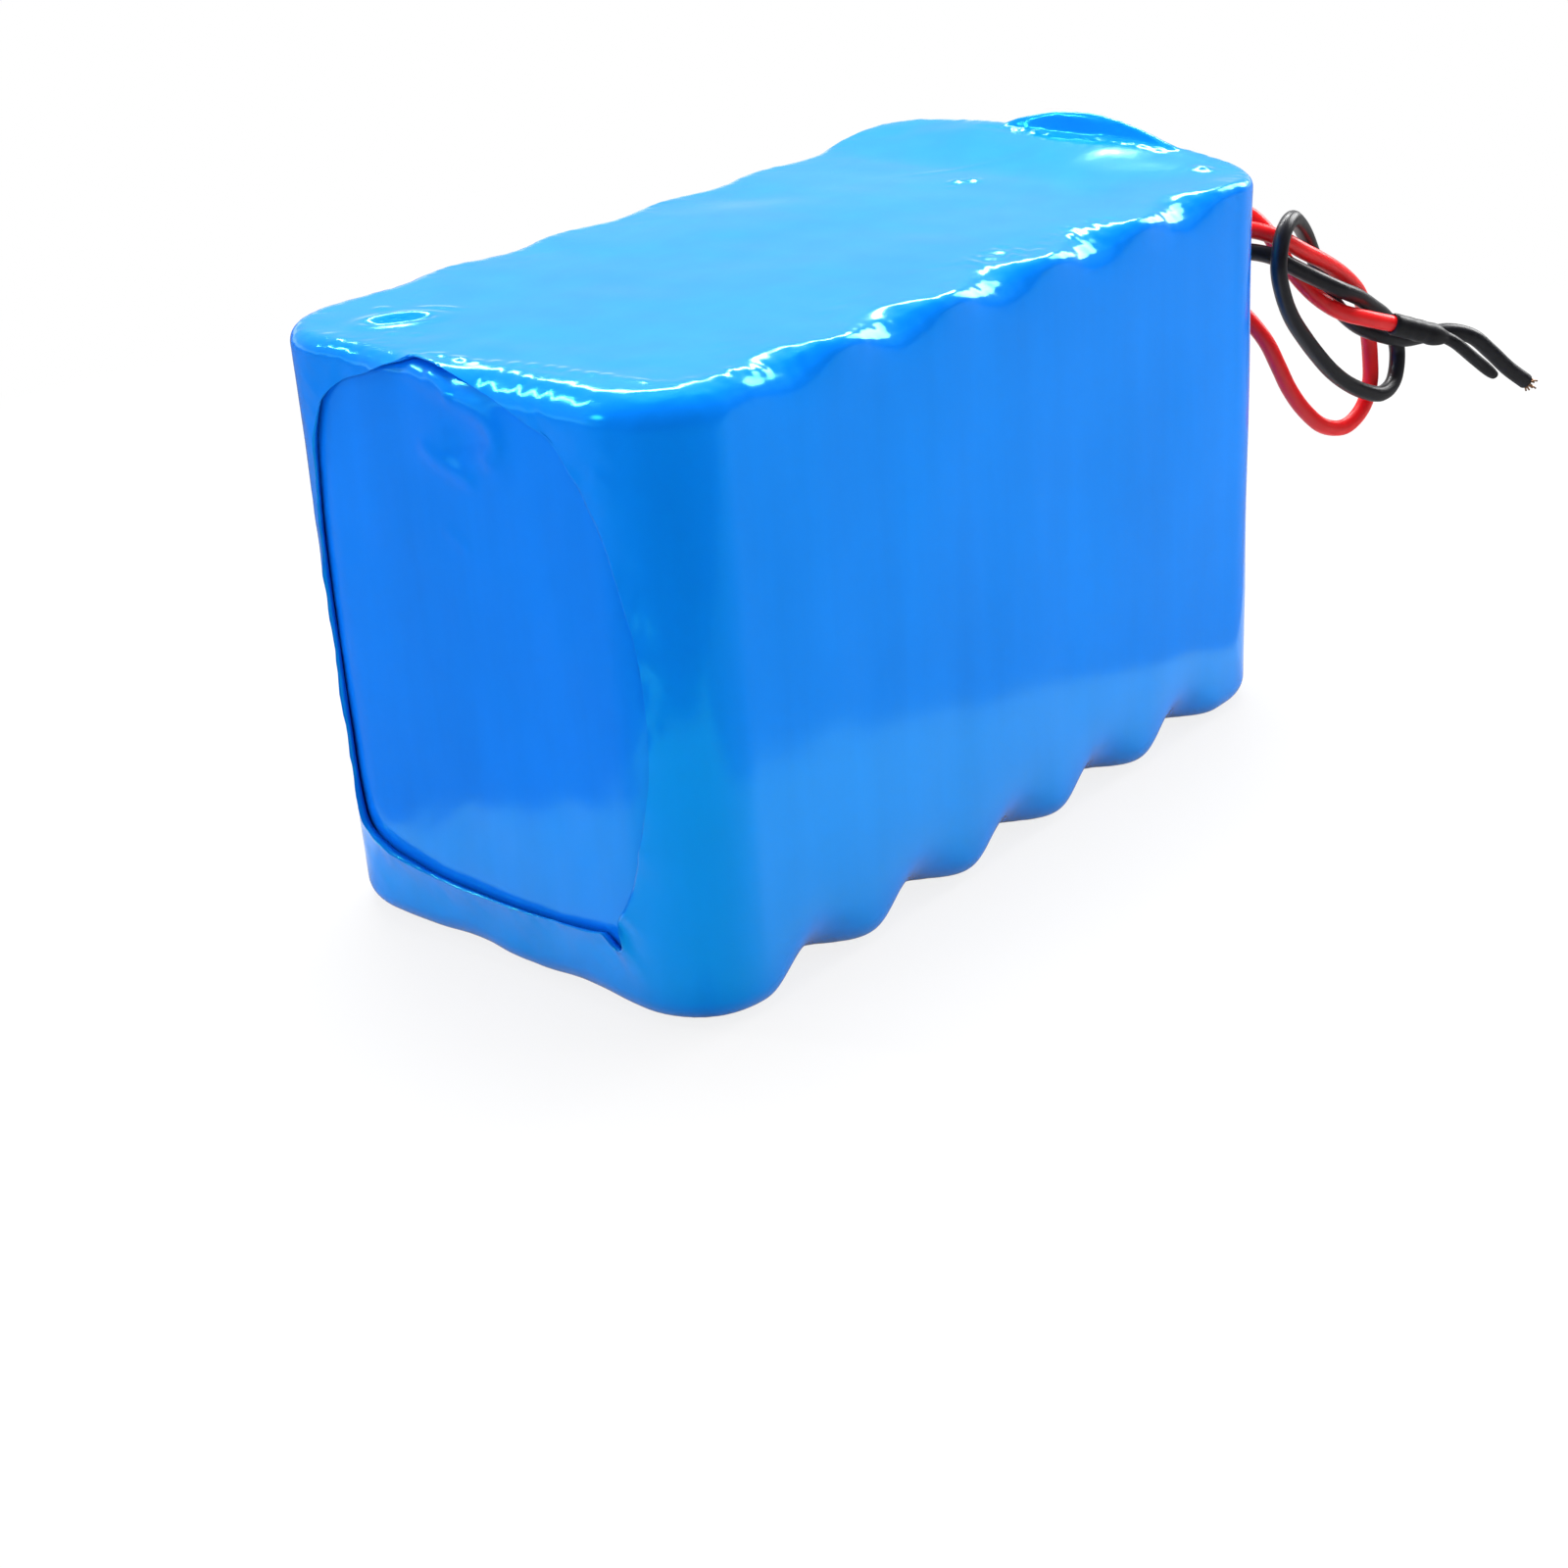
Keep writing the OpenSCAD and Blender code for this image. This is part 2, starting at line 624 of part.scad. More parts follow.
// Tab from the negative strip up the back to the circuit board
module negative_tab() {
    layer_z = cells_z - nickel_t / 2;
    up_y = block_back + 0.5;
    face_y = bms_face_y + nickel_t / 2 + 0.02;
    low_z = half_h - bms_h / 2;
    color(nickel_colour) translate([tab_x - strip_w / 2, 0, 0]) rotate([90, 0, 90]) linear_extrude(strip_w)
        ribbon([[row_y(2) + strip_w / 2, layer_z], [up_y, layer_z], [up_y, low_z - 4], [face_y, low_z - 1],
                [face_y, low_z + 4]], nickel_t);
}

// Protection board

module on_board(x, z, w, depth, h) {
    translate([bms_x + x - w / 2, bms_face_y, half_h + z - h / 2]) cube([w, depth, h]);
}

module bms_board() {
    color([0.08, 0.36, 0.22])
        translate([bms_x - bms_l / 2, bms_y, half_h - bms_h / 2]) cube([bms_l, bms_t, bms_h]);
}

module bms_pad() {
    color([0.95, 0.92, 0.8])
        translate([bms_x - bms_l / 2 - pad_margin, block_back, half_h - bms_h / 2 - pad_margin])
            cube([bms_l + 2 * pad_margin, bms_pad_t, bms_h + 2 * pad_margin]);
}

module bms_transistors() {
    color([0.12, 0.12, 0.13]) for (i = [0:3]) on_board(2 + 6.4 * i, -1, 4.9, 1.5, 6);
}

module bms_control_chips() {
    color([0.14, 0.14, 0.15]) {
        on_board(-17, 2, 5, 1.3, 4.4);
        on_board(-8, 2, 3, 1.1, 3);
    }
}

module bms_resistors() {
    color([0.2, 0.18, 0.16]) {
        for (z = [4, 7.4]) on_board(14, z, 6.3, 0.6, 2.6);
        for (i = [0:5]) on_board(-22 + 3.2 * i, -4, 1.6, 0.5, 0.8);
        for (i = [0:3]) on_board(-19 + 3.2 * i, 6.6, 1.6, 0.5, 0.8);
    }
}

// Sense wires: along the cell ends in the foam, over the edge and down the back to the circuit board

function sense_route(x, start_y, top) =
    let (mirror_z = top ? 1 : -1,
         down = [[start_y, wire_z], [block_back + 0.4, wire_z], [block_back + 1.7, wire_z - 0.6],
                 [block_back + 2.2, wire_z - 2.2], [block_back + 2.3, wire_z - 5.7],
                 [block_back + 2.3, half_h + bms_h / 2 + 1.5], [bms_face_y + 0.6, half_h + bms_h / 2 - 1.2]])
    [for (p = down) [x, p.x, half_h + mirror_z * (p.y - half_h)]];

module sense_wire(x, start_y, top, colour) {
    color(colour) swept(sense_route(x, start_y, top), sense_d);
}

module sense_wire_first() {
    sense_wire(wire_x, first_start, true, "white");
}

module sense_wire_second() {
    sense_wire(wire_x, second_start, false, "gold");
}

module sense_wire_positive() {
    sense_wire(tab_x, positive_start, true, "red");
}

// Solder on the nickel and on the circuit board, at the ends of the wires
module solder_joints() {
    on_nickel_h = 1;
    on_board_h = 1.2;
    on_board_r = 1.1;
    reach = bms_h / 2 - 1.2 - on_board_r - slip;
    color([0.7, 0.71, 0.73]) {
        for (s = [[wire_x, first_start], [tab_x, positive_start]])
            translate([s.x, s.y - solder_r - slip, cells_top + nickel_t])
                cylinder(r = solder_r, h = on_nickel_h);
        translate([wire_x, second_start - solder_r - slip, cells_z - nickel_t - on_nickel_h])
            cylinder(r = solder_r, h = on_nickel_h);
        for (p = [[wire_x, reach], [tab_x, reach], [wire_x, -reach]])
            translate([p.x, bms_face_y, half_h + p.y]) rotate([-90, 0, 0])
                cylinder(r = on_board_r, h = on_board_h);
    }
}

// Leads

core_d = 1.1;

// Bare stranded end that goes straight on from the start of a lead
module bare_end(route, length) {
    dir = -tangent(smoothed(route), 0);
    color([0.75, 0.5, 0.3]) swept([route[0] + dir * slip, route[0] + dir * length], core_d);
}

// Against the positive tab
module positive_core() {
    bare_end(positive_route, 1.6);
}

// On the circuit board's output pad
module negative_core() {
    bare_end(negative_inner_route, 3.4);
}

module negative_lead_inner() {
    color([0.1, 0.1, 0.12]) swept(smoothed(negative_inner_route), lead_d);
}

module positive_lead() {
    bent = smoothed(concat(positive_route, [cap_start]));
    color([0.85, 0.08, 0.1]) swept(concat(bent, [cap_start + cap_axis * cap_grip]), lead_d);
}

module negative_lead() {
    color([0.1, 0.1, 0.12]) swept(smoothed(negative_route), lead_d);
}

// Cut strands at the black lead's free end
module negative_strands() {
    last = len(negative_route) - 1;
    tip = negative_route[last];
    dir = unit(tip - negative_route[last - 1]);
    color([0.2, 0.2, 0.22]) swept([tip + dir * slip, tip + dir * 1.2], 1.4);
}

// Shrunk cap that insulates the red lead's end: it pulls off along the lead
module lead_cap() {
    bore_d = lead_d + 0.1;
    body_l = norm(cap_end - cap_start);
    shoulder = 1.2;
    yaw = atan2(cap_axis.y, cap_axis.x);
    tilt = acos(cap_axis.z);
    color([0.12, 0.12, 0.14]) {
        translate(cap_start) rotate([0, tilt, yaw]) rotate_extrude() polygon([
            [bore_d / 2, 0], [cap_d / 2, 0], [cap_d / 2, body_l], [tail_d / 2, body_l + shoulder],
            [0, body_l + shoulder], [0, cap_grip + 0.3], [bore_d / 2, cap_grip + 0.3]]);
        swept(smoothed(tail_route), tail_d - 0.1);
    }
}

outer_sleeve();
inner_sleeve();
top_board();
bottom_board();
top_foam_pad();
bottom_foam_pad();
top_paper();
bottom_paper();
front_sheet();
back_board();
back_foam_blocks();
near_end_sheet();
lead_end_sheet();
lead_end_foam();
for (row = [0:cells_wide - 1]) for (i = [0:cells_long - 1])
    cell(row, i);
cell_wrappers();
cell_caps();
cell_gaskets();
insulator_rings();
glue_beads();
top_positive_strip();
top_series_plate();
bottom_series_plate();
bottom_negative_strip();
positive_tab();
negative_tab();
bms_board();
bms_pad();
bms_transistors();
bms_control_chips();
bms_resistors();
sense_wire_first();
sense_wire_second();
sense_wire_positive();
solder_joints();
positive_core();
negative_core();
negative_lead_inner();
positive_lead();
negative_lead();
negative_strands();
lead_cap();
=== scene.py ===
"""Looks of a shrink-wrapped battery pack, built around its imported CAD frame.

Shapes are worked out in millimetres, in the frame of the CAD. They become metres when a mesh or a curve is
made.
"""

import json
import math

import bpy
import numpy as np
from mathutils import Matrix, Vector


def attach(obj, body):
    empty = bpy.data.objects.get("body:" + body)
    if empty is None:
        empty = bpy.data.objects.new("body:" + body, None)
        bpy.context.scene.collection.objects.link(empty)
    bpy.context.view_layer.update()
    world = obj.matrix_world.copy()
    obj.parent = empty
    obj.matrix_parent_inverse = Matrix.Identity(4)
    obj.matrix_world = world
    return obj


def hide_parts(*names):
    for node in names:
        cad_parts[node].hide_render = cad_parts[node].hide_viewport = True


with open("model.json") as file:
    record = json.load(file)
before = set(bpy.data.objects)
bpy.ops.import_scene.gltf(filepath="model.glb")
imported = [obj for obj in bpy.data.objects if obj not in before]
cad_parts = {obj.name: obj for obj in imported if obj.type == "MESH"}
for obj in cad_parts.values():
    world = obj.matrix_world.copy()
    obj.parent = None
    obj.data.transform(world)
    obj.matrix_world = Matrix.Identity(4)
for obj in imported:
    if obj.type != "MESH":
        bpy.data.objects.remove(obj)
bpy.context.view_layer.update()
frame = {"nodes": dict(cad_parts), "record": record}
nodes = frame["nodes"]

MM = 0.001
PACK_BODY = "pack"
CAP_BODY = "cap"

# Sizes of the pack and its films, as in the CAD
HALF_L, HALF_W, HALF_H = 57.4, 30.7, 35.3
CORNER_R = 10.2
CORE_X, CORE_Y, CORE_Z = HALF_L - CORNER_R, HALF_W - CORNER_R, HALF_H - CORNER_R
TOP_Z = 2 * HALF_H
PITCH = 18.4
BLOCK_X, BLOCK_Y = -1.2, -2.1
CELLS_LONG, CELLS_WIDE = 6, 3
# Edges: bend radius over a cell and between two cells, depth and height of the notch between them
TOP_EDGE = (1.4, 3.6, 1.1, 7.0)
BOTTOM_EDGE = (3.0, 8.0, 1.6, 12.0)
FILM_T = 0.15
INNER_INSET = 0.4
INNER_LIP_TURN = 58.0
HOLE_Y, HOLE_Z, HOLE_R = -12.6, 58.7, 4.0

# Finer than the CAD: the depth of the end and rear notches as a share of the front ones
END_SHARE, REAR_SHARE = 0.15, 0.5
# Also finer: the top edge is rounder at the near end, by a gain in radius between two distances from the
# middle, of which the back has a share
SHOULDER_R, SHOULDER_FROM, SHOULDER_FULL, SHOULDER_BACK = 2.2, 36, 50, 0.3

# Leads and cap, as in the CAD apart from the tail, which is thicker here
LEAD_D = 2.2
CAP_START = np.array([82.4, -33.3, 44.5])
CAP_END = np.array([89.0, -37.1, 41.6])
CAP_AXIS = (CAP_END - CAP_START) / np.linalg.norm(CAP_END - CAP_START)
CAP_GRIP = 6.6
CAP_D, TAIL_D = 3.0, 1.85
CAP_BORE_D = LEAD_D + 0.1
POSITIVE_ROUTE = [
    (53.2, -11.3, 64.6), (54.4, -12, 61.2), (57.4, -13.9, 60), (60.8, -15.8, 60.1), (63.6, -18.5, 60),
    (66.1, -21.4, 59.5), (68.7, -23.9, 58.1), (71.5, -25.5, 56.1), (74.7, -26.5, 54.2), (78, -27, 52.2),
    (81.2, -27.2, 50), (84.2, -27.1, 47.6), (86.9, -26.5, 44.9), (88.5, -26.4, 41.4), (88.6, -26.9, 37.6),
    (87.4, -27.7, 34), (85.2, -27.8, 30.9), (82, -27, 29.1), (78.6, -25.5, 29.9), (76.3, -23.8, 32.5),
    (74.7, -22.3, 35.7), (73.5, -21.2, 39.1), (72.4, -19.9, 42.6), (71.3, -17.8, 45.7), (70.2, -15.3, 48.4),
    (69.1, -12.8, 51.2), (68.3, -11.2, 54.6), (67.9, -11.6, 58.4), (68.3, -14.4, 60.9), (69.3, -18, 60.8),
    (70.6, -20.6, 58.3), (71.9, -22.2, 55), (73.5, -23.8, 51.8), (75, -26, 49), (76.8, -28.6, 46.9),
    (79.3, -31.3, 45.7)]
NEGATIVE_ROUTE = [
    (55.2, -7.1, 56.9), (55.2, -8.6, 56.9), (55.7, -11.3, 56.9), (57.8, -14.7, 56.9), (60.8, -17.7, 57.1),
    (63.4, -20.9, 57.3), (66.3, -23.7, 56.4), (69.4, -25.6, 54.3), (72.6, -27.3, 52.2), (75.9, -28.9, 50.2),
    (79.6, -29.5, 48.4), (83.2, -29.6, 46.3), (86.8, -29.6, 44.1), (90, -29.3, 41.5), (91.4, -29.6, 37.7),
    (89.4, -30.3, 34.3), (85.4, -30.6, 33.5), (81.5, -30, 34.8), (77.9, -29.3, 36.8), (74.6, -28.7, 39.3),
    (71.7, -28.1, 42.2), (68.9, -27.6, 45.3), (66.3, -27.2, 48.5), (64.1, -27.1, 52.1), (62.8, -27.1, 56),
    (64.3, -26.7, 59.8), (68.1, -25.7, 61), (71.8, -24.6, 59.6), (75.1, -23.9, 57.1), (77.7, -23.6, 53.9),
    (79.4, -24.2, 50.2), (80.5, -25.8, 46.5), (82.2, -28.3, 43.6), (85.2, -30.5, 41.8), (88.9, -31.7, 40.5),
    (93, -32.7, 40.1), (96.8, -34.4, 40), (100.1, -36.4, 38.7), (102.9, -38, 36), (105.6, -39.5, 33.1),
    (108.5, -41, 30.6)]
TAIL_ROUTE = [(91.3, -38.6, 40.1), (93.8, -39.9, 37.7), (97, -41.5, 34.7)]

# Camera, at the photograph's viewing angle
CAM_AZIMUTH, CAM_ELEVATION, CAM_ROLL = -47.764, 25.708, -3.876
CAM_DISTANCE = 311.23
CAM_TARGET = np.array([-14.358, -4.567, 6.843])
CAM_FOCAL_PX, IMAGE_PX, SENSOR_MM = 2577.96, 1600, 36.0


# Camera

def make_camera():
    az, el, roll = (math.radians(v) for v in (CAM_AZIMUTH, CAM_ELEVATION, CAM_ROLL))
    back = Vector((math.sin(az) * math.cos(el), -math.cos(az) * math.cos(el), math.sin(el)))
    flat_right = Vector((0, 0, 1)).cross(back).normalized()
    flat_up = back.cross(flat_right)
    right = math.cos(roll) * flat_right + math.sin(roll) * flat_up
    up = -math.sin(roll) * flat_right + math.cos(roll) * flat_up
    place = Vector(CAM_TARGET) * MM + back * CAM_DISTANCE * MM
    data = bpy.data.cameras.new("camera")
    data.sensor_width = SENSOR_MM
    data.lens = CAM_FOCAL_PX / IMAGE_PX * SENSOR_MM
    data.clip_start, data.clip_end = 0.01, 50
    camera = bpy.data.objects.new("camera", data)
    camera.matrix_world = Matrix.Translation(place) @ Matrix((right, up, back)).transposed().to_4x4()
    bpy.context.scene.collection.objects.link(camera)
    bpy.context.scene.camera = camera


# Materials

def new_material(name):
    mat = bpy.data.materials.new(name)
    mat.use_nodes = True
    tree = mat.node_tree
    return mat, tree, tree.nodes["Principled BSDF"]


def add_node(tree, kind, **values):
    """A node with its properties or, by socket name, its inputs set."""
    node = tree.nodes.new(kind)
    for key, value in values.items():
        if hasattr(node, key):
            setattr(node, key, value)
        else:
            node.inputs[key.replace("_", " ")].default_value = value
    return node


def feed(tree, socket, value):
    """Links another node's output to a socket, or sets a number or colour on it."""
    if isinstance(value, bpy.types.NodeSocket):
        tree.links.new(value, socket)
    else:
        socket.default_value = value


def object_coords(tree, scale=(1, 1, 1), turn=0.0):
    """Coordinates of the object, scaled, or turned about Z by an angle in radians."""
    coords = add_node(tree, "ShaderNodeTexCoord")
    mapping = add_node(tree, "ShaderNodeMapping", Scale=scale, Rotation=(0, 0, turn))
    tree.links.new(coords.outputs["Object"], mapping.inputs["Vector"])
    return mapping.outputs["Vector"]


def math_node(tree, operation, first, second):
    node = add_node(tree, "ShaderNodeMath", operation=operation)
    tree.links.new(first, node.inputs[0])
    tree.links.new(second, node.inputs[1])
    return node.outputs["Value"]


def float_mix(tree, factor, first, second):
    """The first value where the factor is 0, the second where it is 1."""
    node = add_node(tree, "ShaderNodeMix", data_type="FLOAT")
    for name, value in (("Factor", factor), ("A", first), ("B", second)):
        feed(tree, node.inputs[name], value)
    return node.outputs["Result"]


def map_range(tree, value, low, high, to_low=0.0, to_high=1.0):
    node = add_node(tree, "ShaderNodeMapRange", From_Min=low, From_Max=high, To_Min=to_low, To_Max=to_high)
    tree.links.new(value, node.inputs["Value"])
    return node.outputs["Result"]


def separate(tree, vector):
    node = add_node(tree, "ShaderNodeSeparateXYZ")
    tree.links.new(vector, node.inputs["Vector"])
    return node.outputs


def noise(tree, vector, scale, detail=2.0, roughness=0.5):
    node = add_node(tree, "ShaderNodeTexNoise", Scale=scale, Detail=detail, Roughness=roughness)
    tree.links.new(vector, node.inputs["Vector"])
    return node.outputs["Fac"]


def ramp(tree, value, stops):
    """Stops are [position, colour or grey level]."""
    node = add_node(tree, "ShaderNodeValToRGB")
    elements = node.color_ramp.elements
    while len(elements) < len(stops):
        elements.new(0.5)
    for element, (position, colour) in zip(elements, stops):
        element.position = position
        element.color = (*colour, 1) if hasattr(colour, "__len__") else (colour, colour, colour, 1)
    tree.links.new(value, node.inputs["Fac"])
    return node.outputs["Color"]


def bump(tree, height, shader, strength, distance):
    node = add_node(tree, "ShaderNodeBump", Strength=strength, Distance=distance)
    tree.links.new(height, node.inputs["Height"])
    tree.links.new(node.outputs["Normal"], shader.inputs["Normal"])


def shaded(colour, share):
    return tuple(min(1.0, c * share) for c in colour)


def film_material(name, colour, roughness):
    """Glossy shrink film: faint clouds and upright streaks, orange peel and fine rubbed scratches."""
    mat, tree, shader = new_material(name)
    vector = object_coords(tree)
    cloud = noise(tree, vector, 38, 3)
    streak = noise(tree, object_coords(tree, (1, 1, 0.1)), 170, 3)
    both = float_mix(tree, 0.5, cloud, streak)
    tone = ramp(tree, both, [(0.35, shaded(colour, 0.92)), (0.65, shaded(colour, 1.06))])
    tree.links.new(tone, shader.inputs["Base Color"])
    rubbed = noise(tree, object_coords(tree, (160, 1500, 1500)), 1.0, 3, 0.6)
    gloss = ramp(tree, rubbed, [(0.5, roughness), (0.66, roughness + 0.02), (0.8, roughness + 0.08)])
    tree.links.new(gloss, shader.inputs["Roughness"])
    peel = noise(tree, vector, 900, 2)
    bump(tree, peel, shader, 0.05, 0.0002)
    shader.inputs["IOR"].default_value = 1.6
    shader.inputs["Specular IOR Level"].default_value = 1.0
    shader.inputs["Specular Tint"].default_value = (0.0, 1.0, 0.5, 1)
    shader.inputs["Coat Weight"].default_value = 0.06
    shader.inputs["Coat Roughness"].default_value = 0.05
    return mat


def speckled(name, colour, spread, scale, roughness, metallic=0.0, stretch=(1, 1, 1), relief=0.1):
    """A surface whose tone, gloss and relief vary with one noise."""
    mat, tree, shader = new_material(name)
    grain = noise(tree, object_coords(tree, stretch), scale, 4, 0.6)
    tone = ramp(tree, grain, [(0.3, shaded(colour, 1 - spread)), (0.7, shaded(colour, 1 + spread))])
    tree.links.new(tone, shader.inputs["Base Color"])
    gloss = ramp(tree, grain, [(0.3, roughness * 0.85), (0.7, roughness * 1.15)])
    tree.links.new(gloss, shader.inputs["Roughness"])
    bump(tree, grain, shader, relief, 0.0002)
    shader.inputs["Metallic"].default_value = metallic
    return mat


def woven(name, colour):
    """Glass cloth under resin: two crossed fine waves."""
    mat, tree, shader = new_material(name)
    vector = object_coords(tree)
    threads = [add_node(tree, "ShaderNodeTexWave", bands_direction=d, Scale=420.0, Distortion=0.6)
               for d in ("X", "Y")]
    for wave in threads:
        tree.links.new(vector, wave.inputs["Vector"])
    cross = math_node(tree, "MULTIPLY", *(wave.outputs["Fac"] for wave in threads))
    tone = ramp(tree, cross, [(0.0, shaded(colour, 0.85)), (1.0, shaded(colour, 1.1))])
    tree.links.new(tone, shader.inputs["Base Color"])
    bump(tree, cross, shader, 0.2, 0.0001)
    shader.inputs["Roughness"].default_value = 0.45
    return mat


FILM_BLUE = (0.002, 0.215, 0.97)
INNER_BLUE = (0.002, 0.19, 0.95)
BRUSHED = (40, 900, 900)
MATERIALS = {
    "outer_film": film_material("outer_film", FILM_BLUE, 0.14),
    "inner_film": film_material("inner_film", INNER_BLUE, 0.16),
    "stiff_board": woven("stiff_board", (0.46, 0.53, 0.33)),
    "foam": speckled("foam", (0.82, 0.82, 0.78), 0.06, 1400, 0.9, relief=0.5),
    "paper": speckled("paper", (0.54, 0.47, 0.3), 0.1, 700, 0.85, relief=0.3),
    "cell_steel": speckled("cell_steel", (0.55, 0.56, 0.58), 0.06, 1.0, 0.3, 1.0, BRUSHED),
    "terminal_steel": speckled("terminal_steel", (0.6, 0.6, 0.62), 0.05, 1.0, 0.25, 1.0, BRUSHED),
    "cell_wrapper": speckled("cell_wrapper", (0.02, 0.15, 0.065), 0.08, 300, 0.25),
    "gasket": speckled("gasket", (0.022, 0.022, 0.026), 0.2, 600, 0.6),
    "glue": speckled("glue", (0.78, 0.73, 0.54), 0.08, 240, 0.3),
    "nickel": speckled("nickel", (0.58, 0.56, 0.51), 0.07, 1.0, 0.32, 1.0, BRUSHED),
    "circuit_board": speckled("circuit_board", (0.006, 0.085, 0.03), 0.15, 500, 0.3),
    "adhesive_pad": speckled("adhesive_pad", (0.86, 0.78, 0.57), 0.05, 800, 0.8, relief=0.3),
    "chip_black": speckled("chip_black", (0.009, 0.009, 0.01), 0.3, 1500, 0.55),
    "white_pvc": speckled("white_pvc", (0.82, 0.82, 0.78), 0.04, 500, 0.35),
    "yellow_pvc": speckled("yellow_pvc", (0.78, 0.5, 0.012), 0.05, 500, 0.35),
    "solder": speckled("solder", (0.62, 0.63, 0.65), 0.08, 900, 0.28, 1.0),
    "copper": speckled("copper", (0.55, 0.3, 0.17), 0.15, 1200, 0.3, 1.0),
    "red_pvc": speckled("red_pvc", (0.74, 0.006, 0.008), 0.03, 900, 0.36, relief=0.05),
    "black_pvc": speckled("black_pvc", (0.008, 0.008, 0.011), 0.2, 900, 0.36, relief=0.05),
    "cap_black": speckled("cap_black", (0.007, 0.007, 0.009), 0.3, 700, 0.42, relief=0.3),
}


def dress(piece, body, slot, *replaced):
    """Material, body, slot and replaced CAD nodes of a piece made here."""
    piece.data.materials.clear()
    piece.data.materials.append(MATERIALS[slot])
    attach(piece, body)
    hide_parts(*replaced)
    return piece


# Meshes and curves

def ease(value, low, high):
    t = np.clip((value - low) / (high - low), 0, 1)
    return t * t * (3 - 2 * t)


def bell(distance_squared):
    return np.exp(-distance_squared)


def new_mesh(name, points, faces):
    """Smooth-shaded mesh from points in millimetres."""
    mesh = bpy.data.meshes.new(name)
    mesh.from_pydata((np.asarray(points) * MM).tolist(), [], faces)
    mesh.validate()
    mesh.shade_smooth()
    piece = bpy.data.objects.new(name, mesh)
    bpy.context.scene.collection.objects.link(piece)
    return piece


def grid_faces(rows, columns):
    """Quads of a grid that is open along its rows and closed round its columns."""
    faces = []
    for i in range(rows - 1):
        for k in range(columns):
            n = (k + 1) % columns
            faces.append((i * columns + k, i * columns + n, (i + 1) * columns + n, (i + 1) * columns + k))
    return faces


def smooth_route(route, steps):
    """Points on a smooth curve through all the points of a route."""
    p = np.asarray(route, float)
    ends = np.vstack([2 * p[0] - p[1], p, 2 * p[-1] - p[-2]])
    out = []
    for a, b, c, d in zip(ends, ends[1:], ends[2:], ends[3:]):
        for t in np.arange(steps) / steps:
            out.append(0.5 * (2 * b + (c - a) * t + (2 * a - 5 * b + 4 * c - d) * t ** 2
                              + (3 * b - a - 3 * c + d) * t ** 3))
    return np.array(out + [p[-1]])


def lead_curve(name, route):
    data = bpy.data.curves.new(name, "CURVE")
    data.dimensions = "3D"
    spline = data.splines.new("POLY")
    spline.points.add(len(route) - 1)
    for point, place in zip(spline.points, route):
        point.co = (*(place * MM), 1)
    data.bevel_depth = LEAD_D / 2 * MM
    data.bevel_resolution = 5
    data.use_fill_caps = True
    piece = bpy.data.objects.new(name, data)
    bpy.context.scene.collection.objects.link(piece)
    return piece


def along(route):
    """Tangents and two side directions along a route, turned as little as possible."""
    t = np.gradient(route, axis=0)
    t /= np.linalg.norm(t, axis=1)[:, None]
    side = np.cross(t[0], (0.0, 0.0, 1.0))
    first, second = [], []
    for tangent in t:
        side = side - tangent * side.dot(tangent)
        side /= np.linalg.norm(side)
        first.append(side)
        second.append(np.cross(tangent, side))
    return np.array(first), np.array(second)


def tube_rings(route, radii, sides, flat=None):
    """Rings of points round a route. A flat share below 1 squeezes a ring in its second direction."""
    first, second = along(route)
    flat = np.ones(len(route)) if flat is None else flat
    turn = np.arange(sides) * 2 * np.pi / sides
    return [p + r * (np.cos(turn)[:, None] * u + f * np.sin(turn)[:, None] * v)
            for p, r, u, v, f in zip(route, radii, first, second, flat)]


def closed_tube(rings):
    """Points and faces of stacked rings with both ends filled."""
    sides = len(rings[0])
    points = np.vstack(rings)
    faces = grid_faces(len(rings), sides)
    faces.append(tuple(reversed(range(sides))))
    faces.append(tuple(range(len(points) - sides, len(points))))
    return points, faces


# Leads and cap

CAP_SIDES = 24
# Where the cap's body narrows to the tail, from the body's end, and how much its rim is rounded
CAP_TAPER, CAP_RIM = (-0.9, 1.3), 0.1
# Height and turn per millimetre of the waves in its body, and how flat its tail and the tail's tip are
CAP_WAVE, CAP_WAVE_TURN = 0.05, 3.1
TAIL_FLAT, TIP_FLAT = 0.08, (0.97, 0.9, 0.75)


def make_cap():
    """Shrunk cap on the red lead: a bored body that tapers to a thin pinched tail."""
    body = np.linspace(CAP_START, CAP_END, 22)
    tail = smooth_route([CAP_END, CAP_END + CAP_AXIS * 1.2, *TAIL_ROUTE], 7)[1:]
    route = np.vstack([body, tail])
    far = np.linalg.norm(route - CAP_START, axis=1)
    body_l = np.linalg.norm(CAP_END - CAP_START)
    taper = ease(far, body_l + CAP_TAPER[0], body_l + CAP_TAPER[1])
    waves = CAP_WAVE * np.sin(far * CAP_WAVE_TURN) * np.clip(far / body_l, 0, 1) * (1 - taper)
    radii = CAP_D / 2 * (1 - taper) + TAIL_D / 2 * taper + waves
    radii[0] -= CAP_RIM
    flat = 1 - TAIL_FLAT * taper
    flat[-len(TIP_FLAT):] *= TIP_FLAT
    outer = tube_rings(route, radii, CAP_SIDES, flat)
    bore = np.linspace(CAP_START + CAP_AXIS * (CAP_GRIP + 0.3), CAP_START, 8)
    first, second = along(route)
    turn = np.arange(CAP_SIDES) * 2 * np.pi / CAP_SIDES
    rim = np.cos(turn)[:, None] * first[0] + np.sin(turn)[:, None] * second[0]
    inner = [p + CAP_BORE_D / 2 * rim for p in bore]
    return new_mesh("shrunk_cap", *closed_tube(inner + outer))


